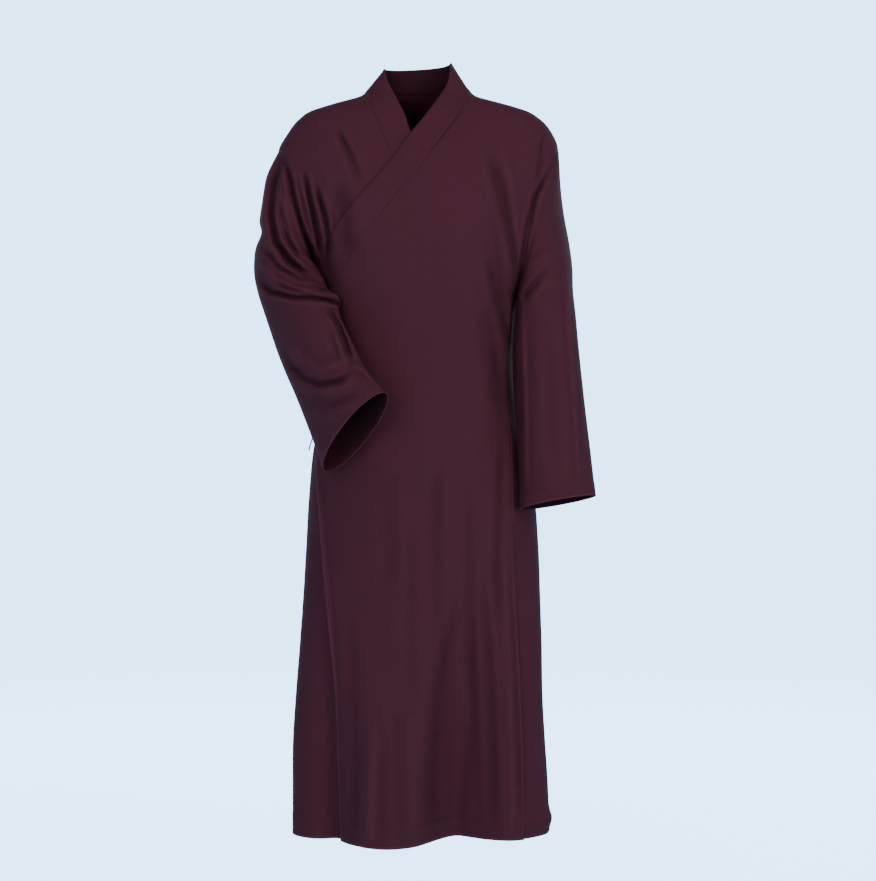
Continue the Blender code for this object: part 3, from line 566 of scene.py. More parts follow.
bentForearmCreases = (  # a knot of short folds where the arm bends
    (((-287, -320), (-262, -347), (-222, -357), (-187, -357), (-158, -365)), (6, 4), (-11, -11)),
    (((-283, -293), (-256, -325), (-214, -340), (-178, -345)), (5.5, 4), (7, 8)),
    (((-278, -268), (-247, -304), (-214, -322), (-178, -325)), (4.6, 4), (-5, -8)),
    (((-276, -304), (-242, -336), (-203, -349)), (3.6, 3.6), (-3, -3)),
    (((-178, -322), (-157, -329), (-134, -338)), (4.5, 4.5), (9, 9)),
    (((-182, -340), (-158, -343), (-128, -350)), (3.4, 3.4), (-9, -11)),
    (((-166, -350), (-146, -354), (-121, -363)), (4, 4), (9, 9)),
    (((-180, -356), (-158, -363), (-132, -373)), (3.8, 3.8), (-10, -12)),
    (((-153, -370), (-134, -381), (-117, -402)), (4.5, 5), (8, 5)),
    (((-164, -372), (-142, -404), (-130, -436), (-117, -475)), (5, 5.5), (-12, -10)),
    (((-151, -414), (-142, -439), (-134, -471)), (4.5, 4.5), (4, 4)),
    (((-239, -454), (-224, -478), (-203, -500), (-174, -512), (-142, -507), (-117, -487)),
     (6.5, 5.5), (-7, -10)),
    (((-231, -436), (-210, -468), (-174, -487), (-135, -471)), (8, 7), (4, 5)),
    (((-240, -478), (-221, -511), (-189, -528), (-150, -525)), (5, 5), (4, 3)),
    (((-123, -486), (-107, -480), (-84, -494)), (6, 6), (8, 7)),
    (((-199, -543), (-157, -550), (-100, -525)), (9, 8), (-3, -4)),
    (((-171, -583), (-142, -560), (-112, -548)), (8, 8), (3, 3)),
)
hangingArmCreases = (
    (((182, -366), (199, -343), (219, -318), (239, -304)), (6, 5), (-8, -3)),
    (((192, -293), (210, -279), (233, -265)), (6, 6), (-3, -2)),
    (((203, -361), (226, -336), (253, -327)), (6, 6), (3, 2)),
    (((262, -293), (269, -414), (278, -539), (288, -717)), (3.8, 3.8), (3.5, 3)),
    (((187, -397), (190, -557), (192, -717)), (4.5, 4.5), (3, 3)),
    (((228, -397), (237, -503), (242, -664)), (10, 11), (-2, -2.5)),
)


# --- materials ---
# Painted light in the cloth's colour: the fold shade darkens creases as painted shade, the edge term lightens
# edges as a painted highlight, and the inside factor darkens the reverse as painted shade
cloth = dict(colour=(0.0450, 0.0100, 0.0148), threadPitch=0.0006, roughness=0.84, gloss=0.05,
             slubDepth=0.0005, foldShade=0.40, edgeHighlight=0.45, inside=0.50)
clothGroups = {}


def newGroup(name, inputs, outputs):
    group = bpy.data.node_groups.new(name, "ShaderNodeTree")
    for socket, kind, value in inputs:
        made = group.interface.new_socket(name=socket, in_out="INPUT", socket_type=kind)
        made.default_value = value
    for socket, kind in outputs:
        group.interface.new_socket(name=socket, in_out="OUTPUT", socket_type=kind)
    return group, group.nodes.new("NodeGroupInput"), group.nodes.new("NodeGroupOutput")


def mathNode(tree, kind, first, second=None):
    node = tree.nodes.new("ShaderNodeMath")
    node.operation = kind
    for socket, value in zip(node.inputs, (first, second)):
        if value is None:
            continue
        if isinstance(value, (int, float)):
            socket.default_value = value
        else:
            tree.links.new(value, socket)
    return node.outputs[0]


def makeWeave():
    tree, given, result = newGroup("plain weave", (
        ("Pitch", "NodeSocketFloat", 0.0006), ("Slub", "NodeSocketFloat", 1.0),
        ("UV", "NodeSocketVector", (0, 0, 0))),
        (("Height", "NodeSocketFloat"), ("Threads", "NodeSocketFloat")))
    parts = tree.nodes.new("ShaderNodeSeparateXYZ")
    tree.links.new(given.outputs["UV"], parts.inputs[0])
    turns = mathNode(tree, "DIVIDE", math.pi, given.outputs["Pitch"])
    warp = mathNode(tree, "SINE", mathNode(tree, "MULTIPLY", parts.outputs["X"], turns))
    weft = mathNode(tree, "SINE", mathNode(tree, "MULTIPLY", parts.outputs["Y"], turns))
    cross = mathNode(tree, "MULTIPLY", warp, weft)
    slubs = []
    for name, scale in (("warp", (900.0, 45.0, 1.0)), ("weft", (45.0, 900.0, 1.0))):
        stretch = tree.nodes.new("ShaderNodeMapping")
        stretch.inputs["Scale"].default_value = scale
        tree.links.new(given.outputs["UV"], stretch.inputs[0])
        noise = tree.nodes.new("ShaderNodeTexNoise")
        noise.inputs["Scale"].default_value = 1.0
        noise.inputs["Detail"].default_value = 2.0
        tree.links.new(stretch.outputs[0], noise.inputs["Vector"])
        slubs.append(noise.outputs[0])
    slub = mathNode(tree, "MULTIPLY", mathNode(tree, "ADD", slubs[0], slubs[1]), 0.5)
    height = mathNode(tree, "ADD", mathNode(tree, "MULTIPLY", cross, 0.35),
                      mathNode(tree, "MULTIPLY", slub, given.outputs["Slub"]))
    tree.links.new(height, result.inputs["Height"])
    tree.links.new(slub, result.inputs["Threads"])
    return tree


# Tone that varies at random over the cloth and along its threads, plus a painted highlight along edges and
# painted shade in creases
def makeToneAndPaintedLight():
    tree, given, result = newGroup("soft variation", (
        ("Colour", "NodeSocketColor", (0.05, 0.02, 0.03, 1)), ("Amount", "NodeSocketFloat", 0.1),
        ("Threads", "NodeSocketFloat", 0.5), ("Edge", "NodeSocketFloat", 0.0),
        ("Fold", "NodeSocketFloat", 0.0)),
        (("Colour", "NodeSocketColor"), ("Rough", "NodeSocketFloat")))
    place = tree.nodes.new("ShaderNodeTexCoord")
    noise = tree.nodes.new("ShaderNodeTexNoise")
    noise.inputs["Scale"].default_value = 7.0
    noise.inputs["Detail"].default_value = 3.0
    tree.links.new(place.outputs["Object"], noise.inputs["Vector"])
    cloudy = mathNode(tree, "SUBTRACT", noise.outputs[0], 0.5)
    cloudy = mathNode(tree, "MULTIPLY", cloudy, given.outputs["Amount"])
    thread = mathNode(tree, "MULTIPLY", mathNode(tree, "SUBTRACT", given.outputs["Threads"], 0.5), 0.5)
    # painted highlight along the edges
    edge = mathNode(tree, "MULTIPLY", given.outputs["Edge"], cloth["edgeHighlight"])
    light = mathNode(tree, "ADD", mathNode(tree, "ADD", cloudy, thread), mathNode(tree, "ADD", edge, 1.0))
    # painted shade deep in creases, and a little painted highlight on ridges
    deep = mathNode(tree, "MULTIPLY", given.outputs["Fold"], cloth["foldShade"])
    light = mathNode(tree, "SUBTRACT", light, deep)
    shade = tree.nodes.new("ShaderNodeVectorMath")
    shade.operation = "SCALE"
    tree.links.new(given.outputs["Colour"], shade.inputs[0])
    tree.links.new(light, shade.inputs["Scale"])
    tree.links.new(shade.outputs[0], result.inputs["Colour"])
    rough = mathNode(tree, "ADD", mathNode(tree, "MULTIPLY", cloudy, 0.4), cloth["roughness"])
    tree.links.new(rough, result.inputs["Rough"])
    return tree


clothGroups["weave"] = makeWeave()
clothGroups["wear"] = makeToneAndPaintedLight()


def clothMaterial(name, colour, amount=0.16):
    material = bpy.data.materials.new(name)
    material.use_nodes = True
    tree = material.node_tree
    shader = tree.nodes["Principled BSDF"]
    shader.inputs["Metallic"].default_value = 0.0
    shader.inputs["Specular IOR Level"].default_value = cloth["gloss"]
    layout = tree.nodes.new("ShaderNodeUVMap")
    layout.uv_map = "cut"
    # the edge attribute carries a painted highlight along the edges
    edge = tree.nodes.new("ShaderNodeAttribute")
    edge.attribute_name = "edge"
    weave = tree.nodes.new("ShaderNodeGroup")
    weave.node_tree = clothGroups["weave"]
    weave.inputs["Pitch"].default_value = cloth["threadPitch"]
    tree.links.new(layout.outputs[0], weave.inputs["UV"])
    wear = tree.nodes.new("ShaderNodeGroup")
    wear.node_tree = clothGroups["wear"]
    wear.inputs["Colour"].default_value = (*colour, 1)
    wear.inputs["Amount"].default_value = amount
    tree.links.new(weave.outputs["Threads"], wear.inputs["Threads"])
    tree.links.new(edge.outputs["Fac"], wear.inputs["Edge"])
    # the fold attribute carries painted shade in creases and a little painted highlight on ridges
    fold = tree.nodes.new("ShaderNodeAttribute")
    fold.attribute_name = "fold"
    tree.links.new(fold.outputs["Fac"], wear.inputs["Fold"])
    tree.links.new(wear.outputs["Colour"], shader.inputs["Base Color"])
    tree.links.new(wear.outputs["Rough"], shader.inputs["Roughness"])
    bump = tree.nodes.new("ShaderNodeBump")
    bump.inputs["Strength"].default_value = 0.5
    bump.inputs["Distance"].default_value = cloth["slubDepth"]
    tree.links.new(weave.outputs["Height"], bump.inputs["Height"])
    tree.links.new(bump.outputs[0], shader.inputs["Normal"])
    return material


clothMain = clothMaterial("maroon cloth", cloth["colour"])
# a darker copy of the cloth for the inner shell, as painted shade on the reverse
clothInsidePaintedShade = clothMaterial("maroon cloth inside", tuple(cloth["inside"] * c for c in cloth["colour"]))
threadMaterial = clothMaterial("maroon thread", tuple(1.25 * c for c in cloth["colour"]), 0.05)
print("materials made")


# --- making pieces ---
wall = dict(cloth=0.0011, hem=0.0020, hemWidth=0.036)


def makeCloth(name, points, uv, material, edge, shade, closed=False, thickness=None, outward=None):
    rows, columns = points.shape[:2]
    index = np.arange(rows * columns).reshape(rows, columns)
    right = np.roll(index, -1, axis=1) if closed else index[:, 1:]
    here = index if closed else index[:, :-1]
    faces = np.stack((here[:-1], right[:-1], right[1:], here[1:]), axis=-1).reshape(-1, 4)
    flat = points.reshape(-1, 3)
    a, b, c = flat[faces[:, 0]], flat[faces[:, 1]], flat[faces[:, 3]]
    facing = np.cross(b - a, c - a)
    if np.sum(facing * (a - outward)) < 0:
        faces = faces[:, ::-1]
    mesh = bpy.data.meshes.new(name)
    mesh.from_pydata(flat.tolist(), [], faces.tolist())
    layer = mesh.uv_layers.new(name="cut")
    flatUv = uv.reshape(-1, 2)
    loops = np.empty(len(mesh.loops), dtype=int)
    mesh.loops.foreach_get("vertex_index", loops)
    spread = flatUv[loops]
    if closed:  # the seam's last column of faces runs on past the first point
        girth = uv[0, :, 0].max() * columns / (columns - 1)
        faceLoops = spread.reshape(-1, 4, 2)
        wide = faceLoops[:, :, 0].max(axis=1) - faceLoops[:, :, 0].min(axis=1) > girth / 2
        lift = (faceLoops[:, :, 0] < girth / 2) & wide[:, None]
        faceLoops[:, :, 0] += lift * girth
    layer.data.foreach_set("uv", spread.ravel())
    # edge carries a painted highlight along the edges, fold carries painted shade in creases
    mesh.attributes.new("edge", "FLOAT", "POINT").data.foreach_set("value", edge.ravel())
    mesh.attributes.new("fold", "FLOAT", "POINT").data.foreach_set("value", np.clip(shade, -0.3, 1.0).ravel())
    mesh.materials.append(material)
    mesh.materials.append(clothInsidePaintedShade)
    mesh.shade_smooth()
    mesh.update()
    piece = bpy.data.objects.new(name, mesh)
    bpy.context.scene.collection.objects.link(piece)
    shell = piece.modifiers.new("wall", "SOLIDIFY")
    shell.offset = 0.0
    shell.material_offset = 1  # painted shade: the inner shell takes a darker copy of the cloth
    if thickness is None:
        shell.thickness = wall["cloth"]
    else:
        shell.thickness = float(thickness.max())
        group = piece.vertex_groups.new(name="wall")
        for value in np.unique(np.round(thickness, 5)):
            chosen = np.nonzero(np.round(thickness.ravel(), 5) == value)[0]
            group.add(chosen.tolist(), float(value) / shell.thickness, "REPLACE")
        shell.vertex_group = "wall"
    return piece


def hemWall(points):
    return np.where(points[..., 2] < robe["hem"] + wall["hemWidth"] - 0.001, wall["hem"], wall["cloth"])


# Painted highlight along the free edges and the hem rows
def edgeHighlightMask(net):
    shade = np.zeros(net.shape[:2])
    low = 1 - softStep(-0.42, -0.30, net[..., 1])  # painted highlight: the free edges are lightened below the waist only
    shade[:, 0] = 0.8 * low[:, 0]
    shade[:, -2:] = low[:, -2:]
    shade[:2, :] = 0.7
    return shade


# Front that shows
bodyCreases = upperArmCreases + leftShoulderCreases + skirtCreases
frontOuterPiece = dict(edgeRoll=(  # rolled free edge, then the edge of the left slit
    (((-180, -650), (-175, -723), (-169, -803), (-160, -892), (-153, -1002), (-148, -1048),
      (-146, -1130), (-144, -1212), (-142, -1319)), (3.5, 3.5), (2.6, 2.6)),
    (((168, -790), (171, -900), (180, -1050), (185, -1180), (188, -1311)), (3.2, 3.2), (4.0, 4.0)),
))


def dressBody(points, extra=()):
    shade = np.zeros(points.shape[:2])
    normals = netNormals(points, False, np.array((0.0, 0.0, -0.6)))
    return ripple(crease(points, normals, bodyCreases + tuple(extra), -1, shade), normals), shade


def sideHem(thickness, net, slitColumns, freeColumns=()):
    low = net[..., 1] < robe["slitTop"]
    for column in slitColumns:
        thickness[:, column] = np.where(low[:, column], wall["hem"], thickness[:, column])
    for column in freeColumns:
        thickness[:-fine["armholeRows"], column] = wall["hem"]
    return thickness


net = frontNet(1, leftSeam, outerEdge, outerBand, fine["outerColumns"])
points = bodyPoints(-1, net[..., 0], net[..., 1], lambda x, z, across: outerLift(x, z))
points, shade = dressBody(points, frontOuterPiece["edgeRoll"])
frontOuter = makeCloth("robe_front_outer", points, net, clothMain, edgeHighlightMask(net), shade,
                       thickness=sideHem(hemWall(points), net, (0, 1, 2, 3), (-1, -2, -3, -4)),
                       outward=np.array((0.0, 0.02, -0.6)))
outerPoints = points

# Front underneath, plain where it is hidden
net = frontNet(-1, rightSeam, innerEdge, innerBand, fine["innerColumns"])
points, shade = dressBody(bodyPoints(-1, net[..., 0], net[..., 1], lambda x, z, across: innerSink(x, z)))
frontInner = makeCloth("robe_front_inner", points, net, clothMain, edgeHighlightMask(net), shade,
                       thickness=sideHem(hemWall(points), net, (0, 1, 2, 3), (-1, -2, -3, -4)),
                       outward=np.array((0.0, 0.02, -0.6)))
innerPoints = points

# Back: broad shallow folds falling from the shoulder blades
backPiece = dict(creases=(
    (((60, -130), (70, -300), (50, -520)), (16, 22), (-3, -2)),
    (((-70, -130), (-80, -280), (-60, -480)), (16, 22), (-3, -2)),
    (((130, -330), (60, -400), (-20, -430)), (12, 18), (-3, -1.5)),
    (((-130, -300), (-60, -380), (10, -420)), (12, 18), (-3, -1.5)),
    (((110, -700), (128, -960), (140, -1290)), (12, 20), (-2, -7)),
    (((-20, -760), (-26, -1000), (-30, -1290)), (12, 20), (-1.5, -6)),
    (((-110, -700), (-124, -960), (-130, -1290)), (12, 18), (2, 5)),
    (((176, -180), (160, -260), (140, -350), (95, -420)), (9, 11), (-7, -3)),
    (((-176, -170), (-158, -240), (-136, -320), (-90, -390)), (9, 11), (-7, -3)),
    (((205, -150), (196, -230), (180, -300)), (7, 8), (-6, -6)),
    (((-205, -150), (-196, -220), (-182, -280)), (7, 8), (-6, -6)),
    (((50, -560), (56, -800), (66, -1090), (70, -1300)), (9, 13), (-2, -5)),
    (((-80, -600), (-84, -860), (-92, -1300)), (9, 13), (-2, -5)),
    (((150, -760), (160, -1000), (168, -1300)), (9, 12), (3, 5)),
), corner=dict(out=0.012, height=-1.276, reach=0.016, cut=0.006))
net = backNet()
half = abs(net[0, 0, 0])


def backTuck(x, z, across):
    edge = softStep(half - 0.10, half - 0.035, np.abs(across))
    return -robe["slitTuck"] * edge * (1 - softStep(robe["slitTop"] - 0.02, robe["slitTop"] + 0.05, z))


points = bodyPoints(1, net[..., 0], net[..., 1], backTuck)
corner = backPiece["corner"]  # the hem's left corner turns out a little
rim = softStep(half - 0.13, half - 0.05, net[..., 0])
points[..., 0] += corner["out"] * rim * np.exp(-((points[..., 2] - corner["height"]) / corner["reach"]) ** 2)
points[..., 0] -= corner["cut"] * rim * np.exp(-((points[..., 2] - robe["hem"]) / 0.007) ** 2)
normals = netNormals(points, False, np.array((0.0, 0.0, -0.6)))
shade = np.zeros(points.shape[:2])
points = crease(points, normals, backPiece["creases"], 1, shade)
points = ripple(crease(points, normals, bodyCreases, -1, shade), normals)
back = makeCloth("robe_back", points, net, clothMain, edgeHighlightMask(net), shade,
                 thickness=sideHem(hemWall(points), net, (0, 1, 2, -1, -2, -3)),
                 outward=np.array((0.0, -0.02, -0.6)))
backPointsNet = points
print("front and back made")


# --- sleeves ---
def armholeRing(hand):
    steps = sleeveShape["ringSteps"] // 2
    middle = (robe["shoulderTip"] + armpit(hand)) / 2
    reach = (robe["shoulderTip"] - armpit(hand)) / 2
    heights = middle + reach * np.cos(np.linspace(0, math.pi, steps + 1))
    name = "left" if hand > 0 else "right"
    front = [(hand * float(formSize(name, z)), -armholeHalf(z, hand), z) for z in heights]
    ring = np.array(front + [(x, -y, z) for x, y, z in front[1:-1][::-1]])
    return ring


def sleeveRings(table, hand):
    outer = np.array([row[0:3] for row in table])
    inner = np.array([row[3:6] for row in table])
    centre = (outer + inner) / 2
    along = np.gradient(centre, axis=0)
    turns = np.linspace(0, 2 * math.pi, sleeveShape["ringSteps"], endpoint=False)
    ring = armholeRing(hand)
    first = centre[0] + np.outer(np.cos(turns), (outer[0] - inner[0]) / 2)
    first[:, 1] -= np.sin(turns) * table[0][6]
    spare = ring - first
    rings = []
    for row, line in enumerate(table):
        reach = (outer[row] - inner[row]) / 2
        forward = np.cross(reach, along[row])
        forward = forward / np.linalg.norm(forward)
        if forward[1] > 0:
            forward = -forward
        turned = min(1.0, row / sleeveShape["blendRows"])
        forward = forward * turned + np.array((0.0, -1.0, 0.0)) * (1 - turned)
        depths = np.where(np.sin(turns) > 0, line[6], line[7]) * np.sin(turns)
        points = centre[row] + np.outer(np.cos(turns), reach) + np.outer(depths, forward)
        rings.append(points + spare * (1 - turned) ** 2)
    rings = np.array(rings)
    if hand < 0:
        bend = sleeveShape["bendRows"]
        share = shares(centre[:bend + 1])
        halfRound = sleeveShape["ringSteps"] // 2
        for row in range(1, bend):
            even = rings[0] + (rings[bend] - rings[0]) * share[row]
            bow = rings[row] - even
            for place in range(halfRound + 1, 2 * halfRound):
                turn = (place - halfRound) / halfRound
                sag = math.sin(math.pi * turn) * math.sin(math.pi * share[row])
                rings[row, place] = (even[place] + bow[halfRound] * (1 - turn) + bow[0] * turn
                                     + sag * np.array(sleeveShape["underarmSag"]))
    start = rings[1] - rings[0]
    rings[0] += start / np.linalg.norm(start, axis=1)[:, None] * robe["armholeGap"]
    return rings


def splineRead(values, places):
    k = np.clip(places.astype(int), 0, len(values) - 2)
    t = (places - k)[(...,) + (None,) * (values.ndim - 1)]
    before, after = values[np.maximum(k - 1, 0)], values[np.minimum(k + 2, len(values) - 1)]
    start, end = values[k], values[k + 1]
    slopeIn, slopeOut = (end - before) / 2, (after - start) / 2
    return ((2 * t ** 3 - 3 * t ** 2 + 1) * start + (t ** 3 - 2 * t ** 2 + t) * slopeIn
            + (3 * t ** 2 - 2 * t ** 3) * end + (t ** 3 - t ** 2) * slopeOut)


def fineSleeve(table, hand):
    rings = sleeveRings(table, hand)
    wrapped = np.concatenate((rings[:, -2:], rings, rings[:, :3]), axis=1)
    places = 2 + np.linspace(0, rings.shape[1], fine["sleeveRound"], endpoint=False)
    around = splineRead(wrapped.transpose(1, 0, 2), places).transpose(1, 0, 2)
    middle = around.mean(axis=1)
    outerLine = around[:, 0]
    lengths = np.concatenate(([0.0], np.cumsum(np.maximum(
        np.linalg.norm(np.diff(middle, axis=0), axis=1), np.linalg.norm(np.diff(outerLine, axis=0), axis=1)))))
    rows = int(lengths[-1] / fine["sleeveStep"])
    wanted = np.interp(np.linspace(0, lengths[-1], rows + 1), lengths, np.arange(len(lengths)))
    points = splineRead(around, wanted)
    girth = np.linalg.norm(np.diff(points, axis=1), axis=2).sum(axis=1).mean()
    u = np.broadcast_to(np.linspace(0, girth, fine["sleeveRound"]), points.shape[:2])
    v = np.broadcast_to(np.linspace(0, lengths[-1], rows + 1)[:, None], points.shape[:2])
    return points, np.stack((u, v), axis=-1)


def sleeveNormals(points):
    aroundStep = np.roll(points, -1, axis=1) - np.roll(points, 1, axis=1)
    normals = np.cross(np.gradient(points, axis=0), aroundStep)
    normals /= np.linalg.norm(normals, axis=2)[..., None] + 1e-12
    if np.sum(normals * (points - points.mean(axis=1)[:, None])) < 0:
        normals = -normals
    return normals


def makeSleeve(name, table, hand, piece):
    points, uv = fineSleeve(table, hand)
    hold = softStep(0.0, 0.10, np.linspace(0, 1, len(points)))[:, None]
    for centre, reach, push in piece["pulls"]:  # local gathers that change the sleeve's own form
        away = np.linalg.norm((points - np.array(centre)) / np.array(reach), axis=2)
        points = points + (np.exp(-away ** 2) * hold)[..., None] * np.array(push)
    normals = sleeveNormals(points)
    shade = np.zeros(points.shape[:2])
    points = crease(points, normals, piece["front"], -1, shade)
    points = crease(points, normals, piece["behind"], 1, shade)
    points = ripple(points, normals)
    start = points[1] - points[0]  # a lip that runs on inside the armhole
    middle = points[0].mean(axis=0)
    lip = points[0] - start / np.linalg.norm(start, axis=1)[:, None] * 0.005
    lip += (middle - lip) / np.linalg.norm(middle - lip, axis=1)[:, None] * 0.0022
    points = np.concatenate((lip[None], points))
    uv = np.concatenate((uv[:1] - np.array((0.0, 0.005)), uv))
    shade = np.concatenate((shade[:1], shade))
    edge = np.zeros(points.shape[:2])
    # painted highlight along the cuff
    edge[-2:] = 1.0
    cuffDistance = uv[-1, 0, 1] - uv[..., 1]
    thickness = np.where(cuffDistance < 0.024, wall["hem"], wall["cloth"])
    mesh = makeTube(name, points, uv, edge, shade, thickness)
    return mesh, points, sleeveNormals(points)


def makeTube(name, points, uv, edge, shade, thickness):
    return makeCloth(name, points, uv, clothMain, edge, shade, closed=True, thickness=thickness,
                     outward=points.mean(axis=1)[:-1].repeat(points.shape[1], axis=0))


# Hanging sleeve: pressed edge outside, one crease at the elbow
leftSleevePiece = dict(
    front=leftShoulderCreases + hangingArmCreases,
    behind=(
        (((250, -340), (215, -370), (190, -380)), (9, 9), (-6, -7)),
        (((240, -160), (226, -260), (215, -330)), (10, 12), (-5, -4)),
        (((262, -420), (240, -470), (200, -500)), (12, 12), (-4, -2)),
        (((276, -420), (284, -560), (290, -700)), (5, 5), (3, 3)),
    ),
    pulls=(((0.173, -0.040, -0.460), (0.022, 0.060, 0.110), (-0.0065, 0.0, 0.0)),),
)
sleeveLeft, leftPoints, leftNormals = makeSleeve("robe_sleeve_left", leftSleeve, 1, leftSleevePiece)

# Bent sleeve: troughs run together in the crook, bands cross the forearm
rightSleevePiece = dict(
    front=upperArmCreases + bentForearmCreases,
    behind=(
        (((-262, -200), (-240, -290), (-215, -350)), (10, 9), (-7, -8)),
        (((-250, -420), (-220, -400), (-190, -370)), (10, 9), (-7, -7)),
        (((-230, -480), (-190, -490), (-150, -470)), (12, 10), (-7, -5)),
        (((-240, -150), (-225, -210), (-205, -270)), (8, 8), (-6, -6)),
        (((-275, -290), (-262, -330), (-236, -350)), (8, 8), (5, 4)),
    ),
    pulls=(  # centre, reach, push
        ((-0.188, -0.050, -0.335), (0.032, 0.060, 0.045), (0.030, -0.012, 0.004)),
        ((-0.285, 0.020, -0.244), (0.022, 0.060, 0.013), (0.0095, 0.0, 0.0)),
        ((-0.158, -0.118, -0.366), (0.030, 0.045, 0.017), (0.027, -0.010, 0.004)),
        ((-0.150, -0.120, -0.400), (0.020, 0.030, 0.030), (0.006, -0.004, 0.0)),
    ),
)
sleeveRight, rightPoints, rightNormals = makeSleeve("robe_sleeve_right", rightSleeve, -1, rightSleevePiece)
print("sleeves made")


# --- collar band ---
def bandStrip(band, hand):
    seam = bandLine(band, 2, fine["armholeRows"])
    edge = bandLine(band, 0, fine["armholeRows"])
    share = np.linspace(0, 1, fine["collarAcross"] + 1)
    across, height, lift = [], [], []
    for (sx, sz), (ex, ez) in zip(seam, edge):
        gap = robe["seamGap"] + (robe["neckGap"] - robe["seamGap"]) * softStep(-0.06, 0.0, sz)
        seamPlace = acrossFromX(sz, sx, -1) - hand * gap
        edgePlace = acrossFromX(ez, ex, -1)
        low = sz + gap - robe["seamGap"]
        height.append(low + (ez - low) * share)
        across.append(seamPlace + (edgePlace - seamPlace) * share)
        lift.append(np.full(len(share), outerLift(ex, ez) if hand > 0 else 0.0))
    across, height, lift = np.array(across), np.array(height), np.array(lift)
    return bodyPoints(-1, across, height, lambda x, z, a: lift)


def neckStrip():
    first = fine["shoulderColumns"]
    low = backTop()[first:first + fine["neckColumns"] + 1, 1] + robe["neckGap"]
    place = np.linspace(0, 1, fine["neckColumns"] + 1)
    tops = readCurve((0, 0.5, 1), (outerBand[-1][1], neckBackTop, innerBand[-1][1]), place)
    share = np.linspace(0, 1, fine["collarAcross"] + 1)
    height = low[:, None] + (tops - low)[:, None] * share
    turn = 1 - 2 * place
    across = np.array([[t * abs(seamAcross(h, 1, 1 if t > 0 else -1)) for h in line]
                       for t, line in zip(turn, height)])
    return bodyPoints(1, across, height, lambda x, z, a: np.zeros_like(x))


collarPiece = dict(wall=0.0011)
outerStrip, behindNeck, innerStrip = bandStrip(outerBand, 1), neckStrip(), bandStrip(innerBand, -1)
points, shade = dressBody(np.concatenate((outerStrip, behindNeck[1:-1], innerStrip[::-1])))
runs = np.concatenate(([0.0], np.cumsum(np.linalg.norm(np.diff(points[:, 6], axis=0), axis=1))))
uv = np.stack((np.broadcast_to(np.linspace(0, 0.05, points.shape[1]), points.shape[:2]),
               np.broadcast_to(runs[:, None], points.shape[:2])), axis=-1)
edge = np.zeros(points.shape[:2])
# a faint painted highlight along the collar's free edge
edge[:, -1] = 0.25
collar = makeCloth("robe_collar", points, uv, clothMain, edge, shade,
                   thickness=np.full(points.shape[:2], collarPiece["wall"]),
                   outward=points.mean(axis=(0, 1)) * np.array((1, 0, 1)) + np.array((0, 0.02, -0.2)))
collarPoints = points
print("collar made")


# --- ties under the right arm ---
tiePieces = dict(tie_front=dict(top=-0.385, foot=-0.629, shift=-0.010, sway=0.003, flick=0.0045),
                 tie_side=dict(top=-0.392, foot=-0.590, shift=0.008, sway=-0.002, flick=0.002))


def makeTie(name, piece):
    rows = []
    heights = np.linspace(piece["top"], piece["foot"], 49)
    for k, height in enumerate(heights):
        line = []
        share = k / 48
        for step in np.linspace(-0.5, 0.5, 7):
            centre = float(formSize("sideLine", height))
            y = centre + piece["shift"] + step * robe["tieWidth"]
            xs, ys, lengths = section(round(height, 5), -1 if y < centre else 1)
            hidden = xs > 0
            order = np.argsort(ys[~hidden])
            x = float(np.interp(y, ys[~hidden][order], xs[~hidden][order]))
            ripple = 0.0006 * math.sin(share * 9 + step * 2)
            flick = piece["flick"] * float(softStep(0.84, 1.0, share))  # the end turns out
            line.append((x - 0.0040 - ripple - flick, y + piece["sway"] * share ** 2, height))
        rows.append(line)
    points = np.array(rows)
    uv = np.stack((np.broadcast_to(np.linspace(0, robe["tieWidth"], 7), points.shape[:2]),
                   np.broadcast_to(heights[:, None], points.shape[:2])), axis=-1)
    edge = np.zeros(points.shape[:2])
    # painted highlight along both sides and the end of the tie
    edge[:, 0] = edge[:, -1] = 1.0
    edge[-1] = 1.0
    return makeCloth("robe_" + name, points, uv, clothMain, edge, np.zeros(points.shape[:2]),
                     thickness=np.full(points.shape[:2], 0.0014), outward=np.array((0.0, 0.0, -0.5)))


ties = {name: makeTie(name, piece) for name, piece in tiePieces.items()}
print("ties made")


# --- stitches: Geometry Nodes lay one short thread after another along each seam's path ---
stitchSizes = dict(pitch=0.0036, length=0.0026, radius=0.00028, lift=0.0001)


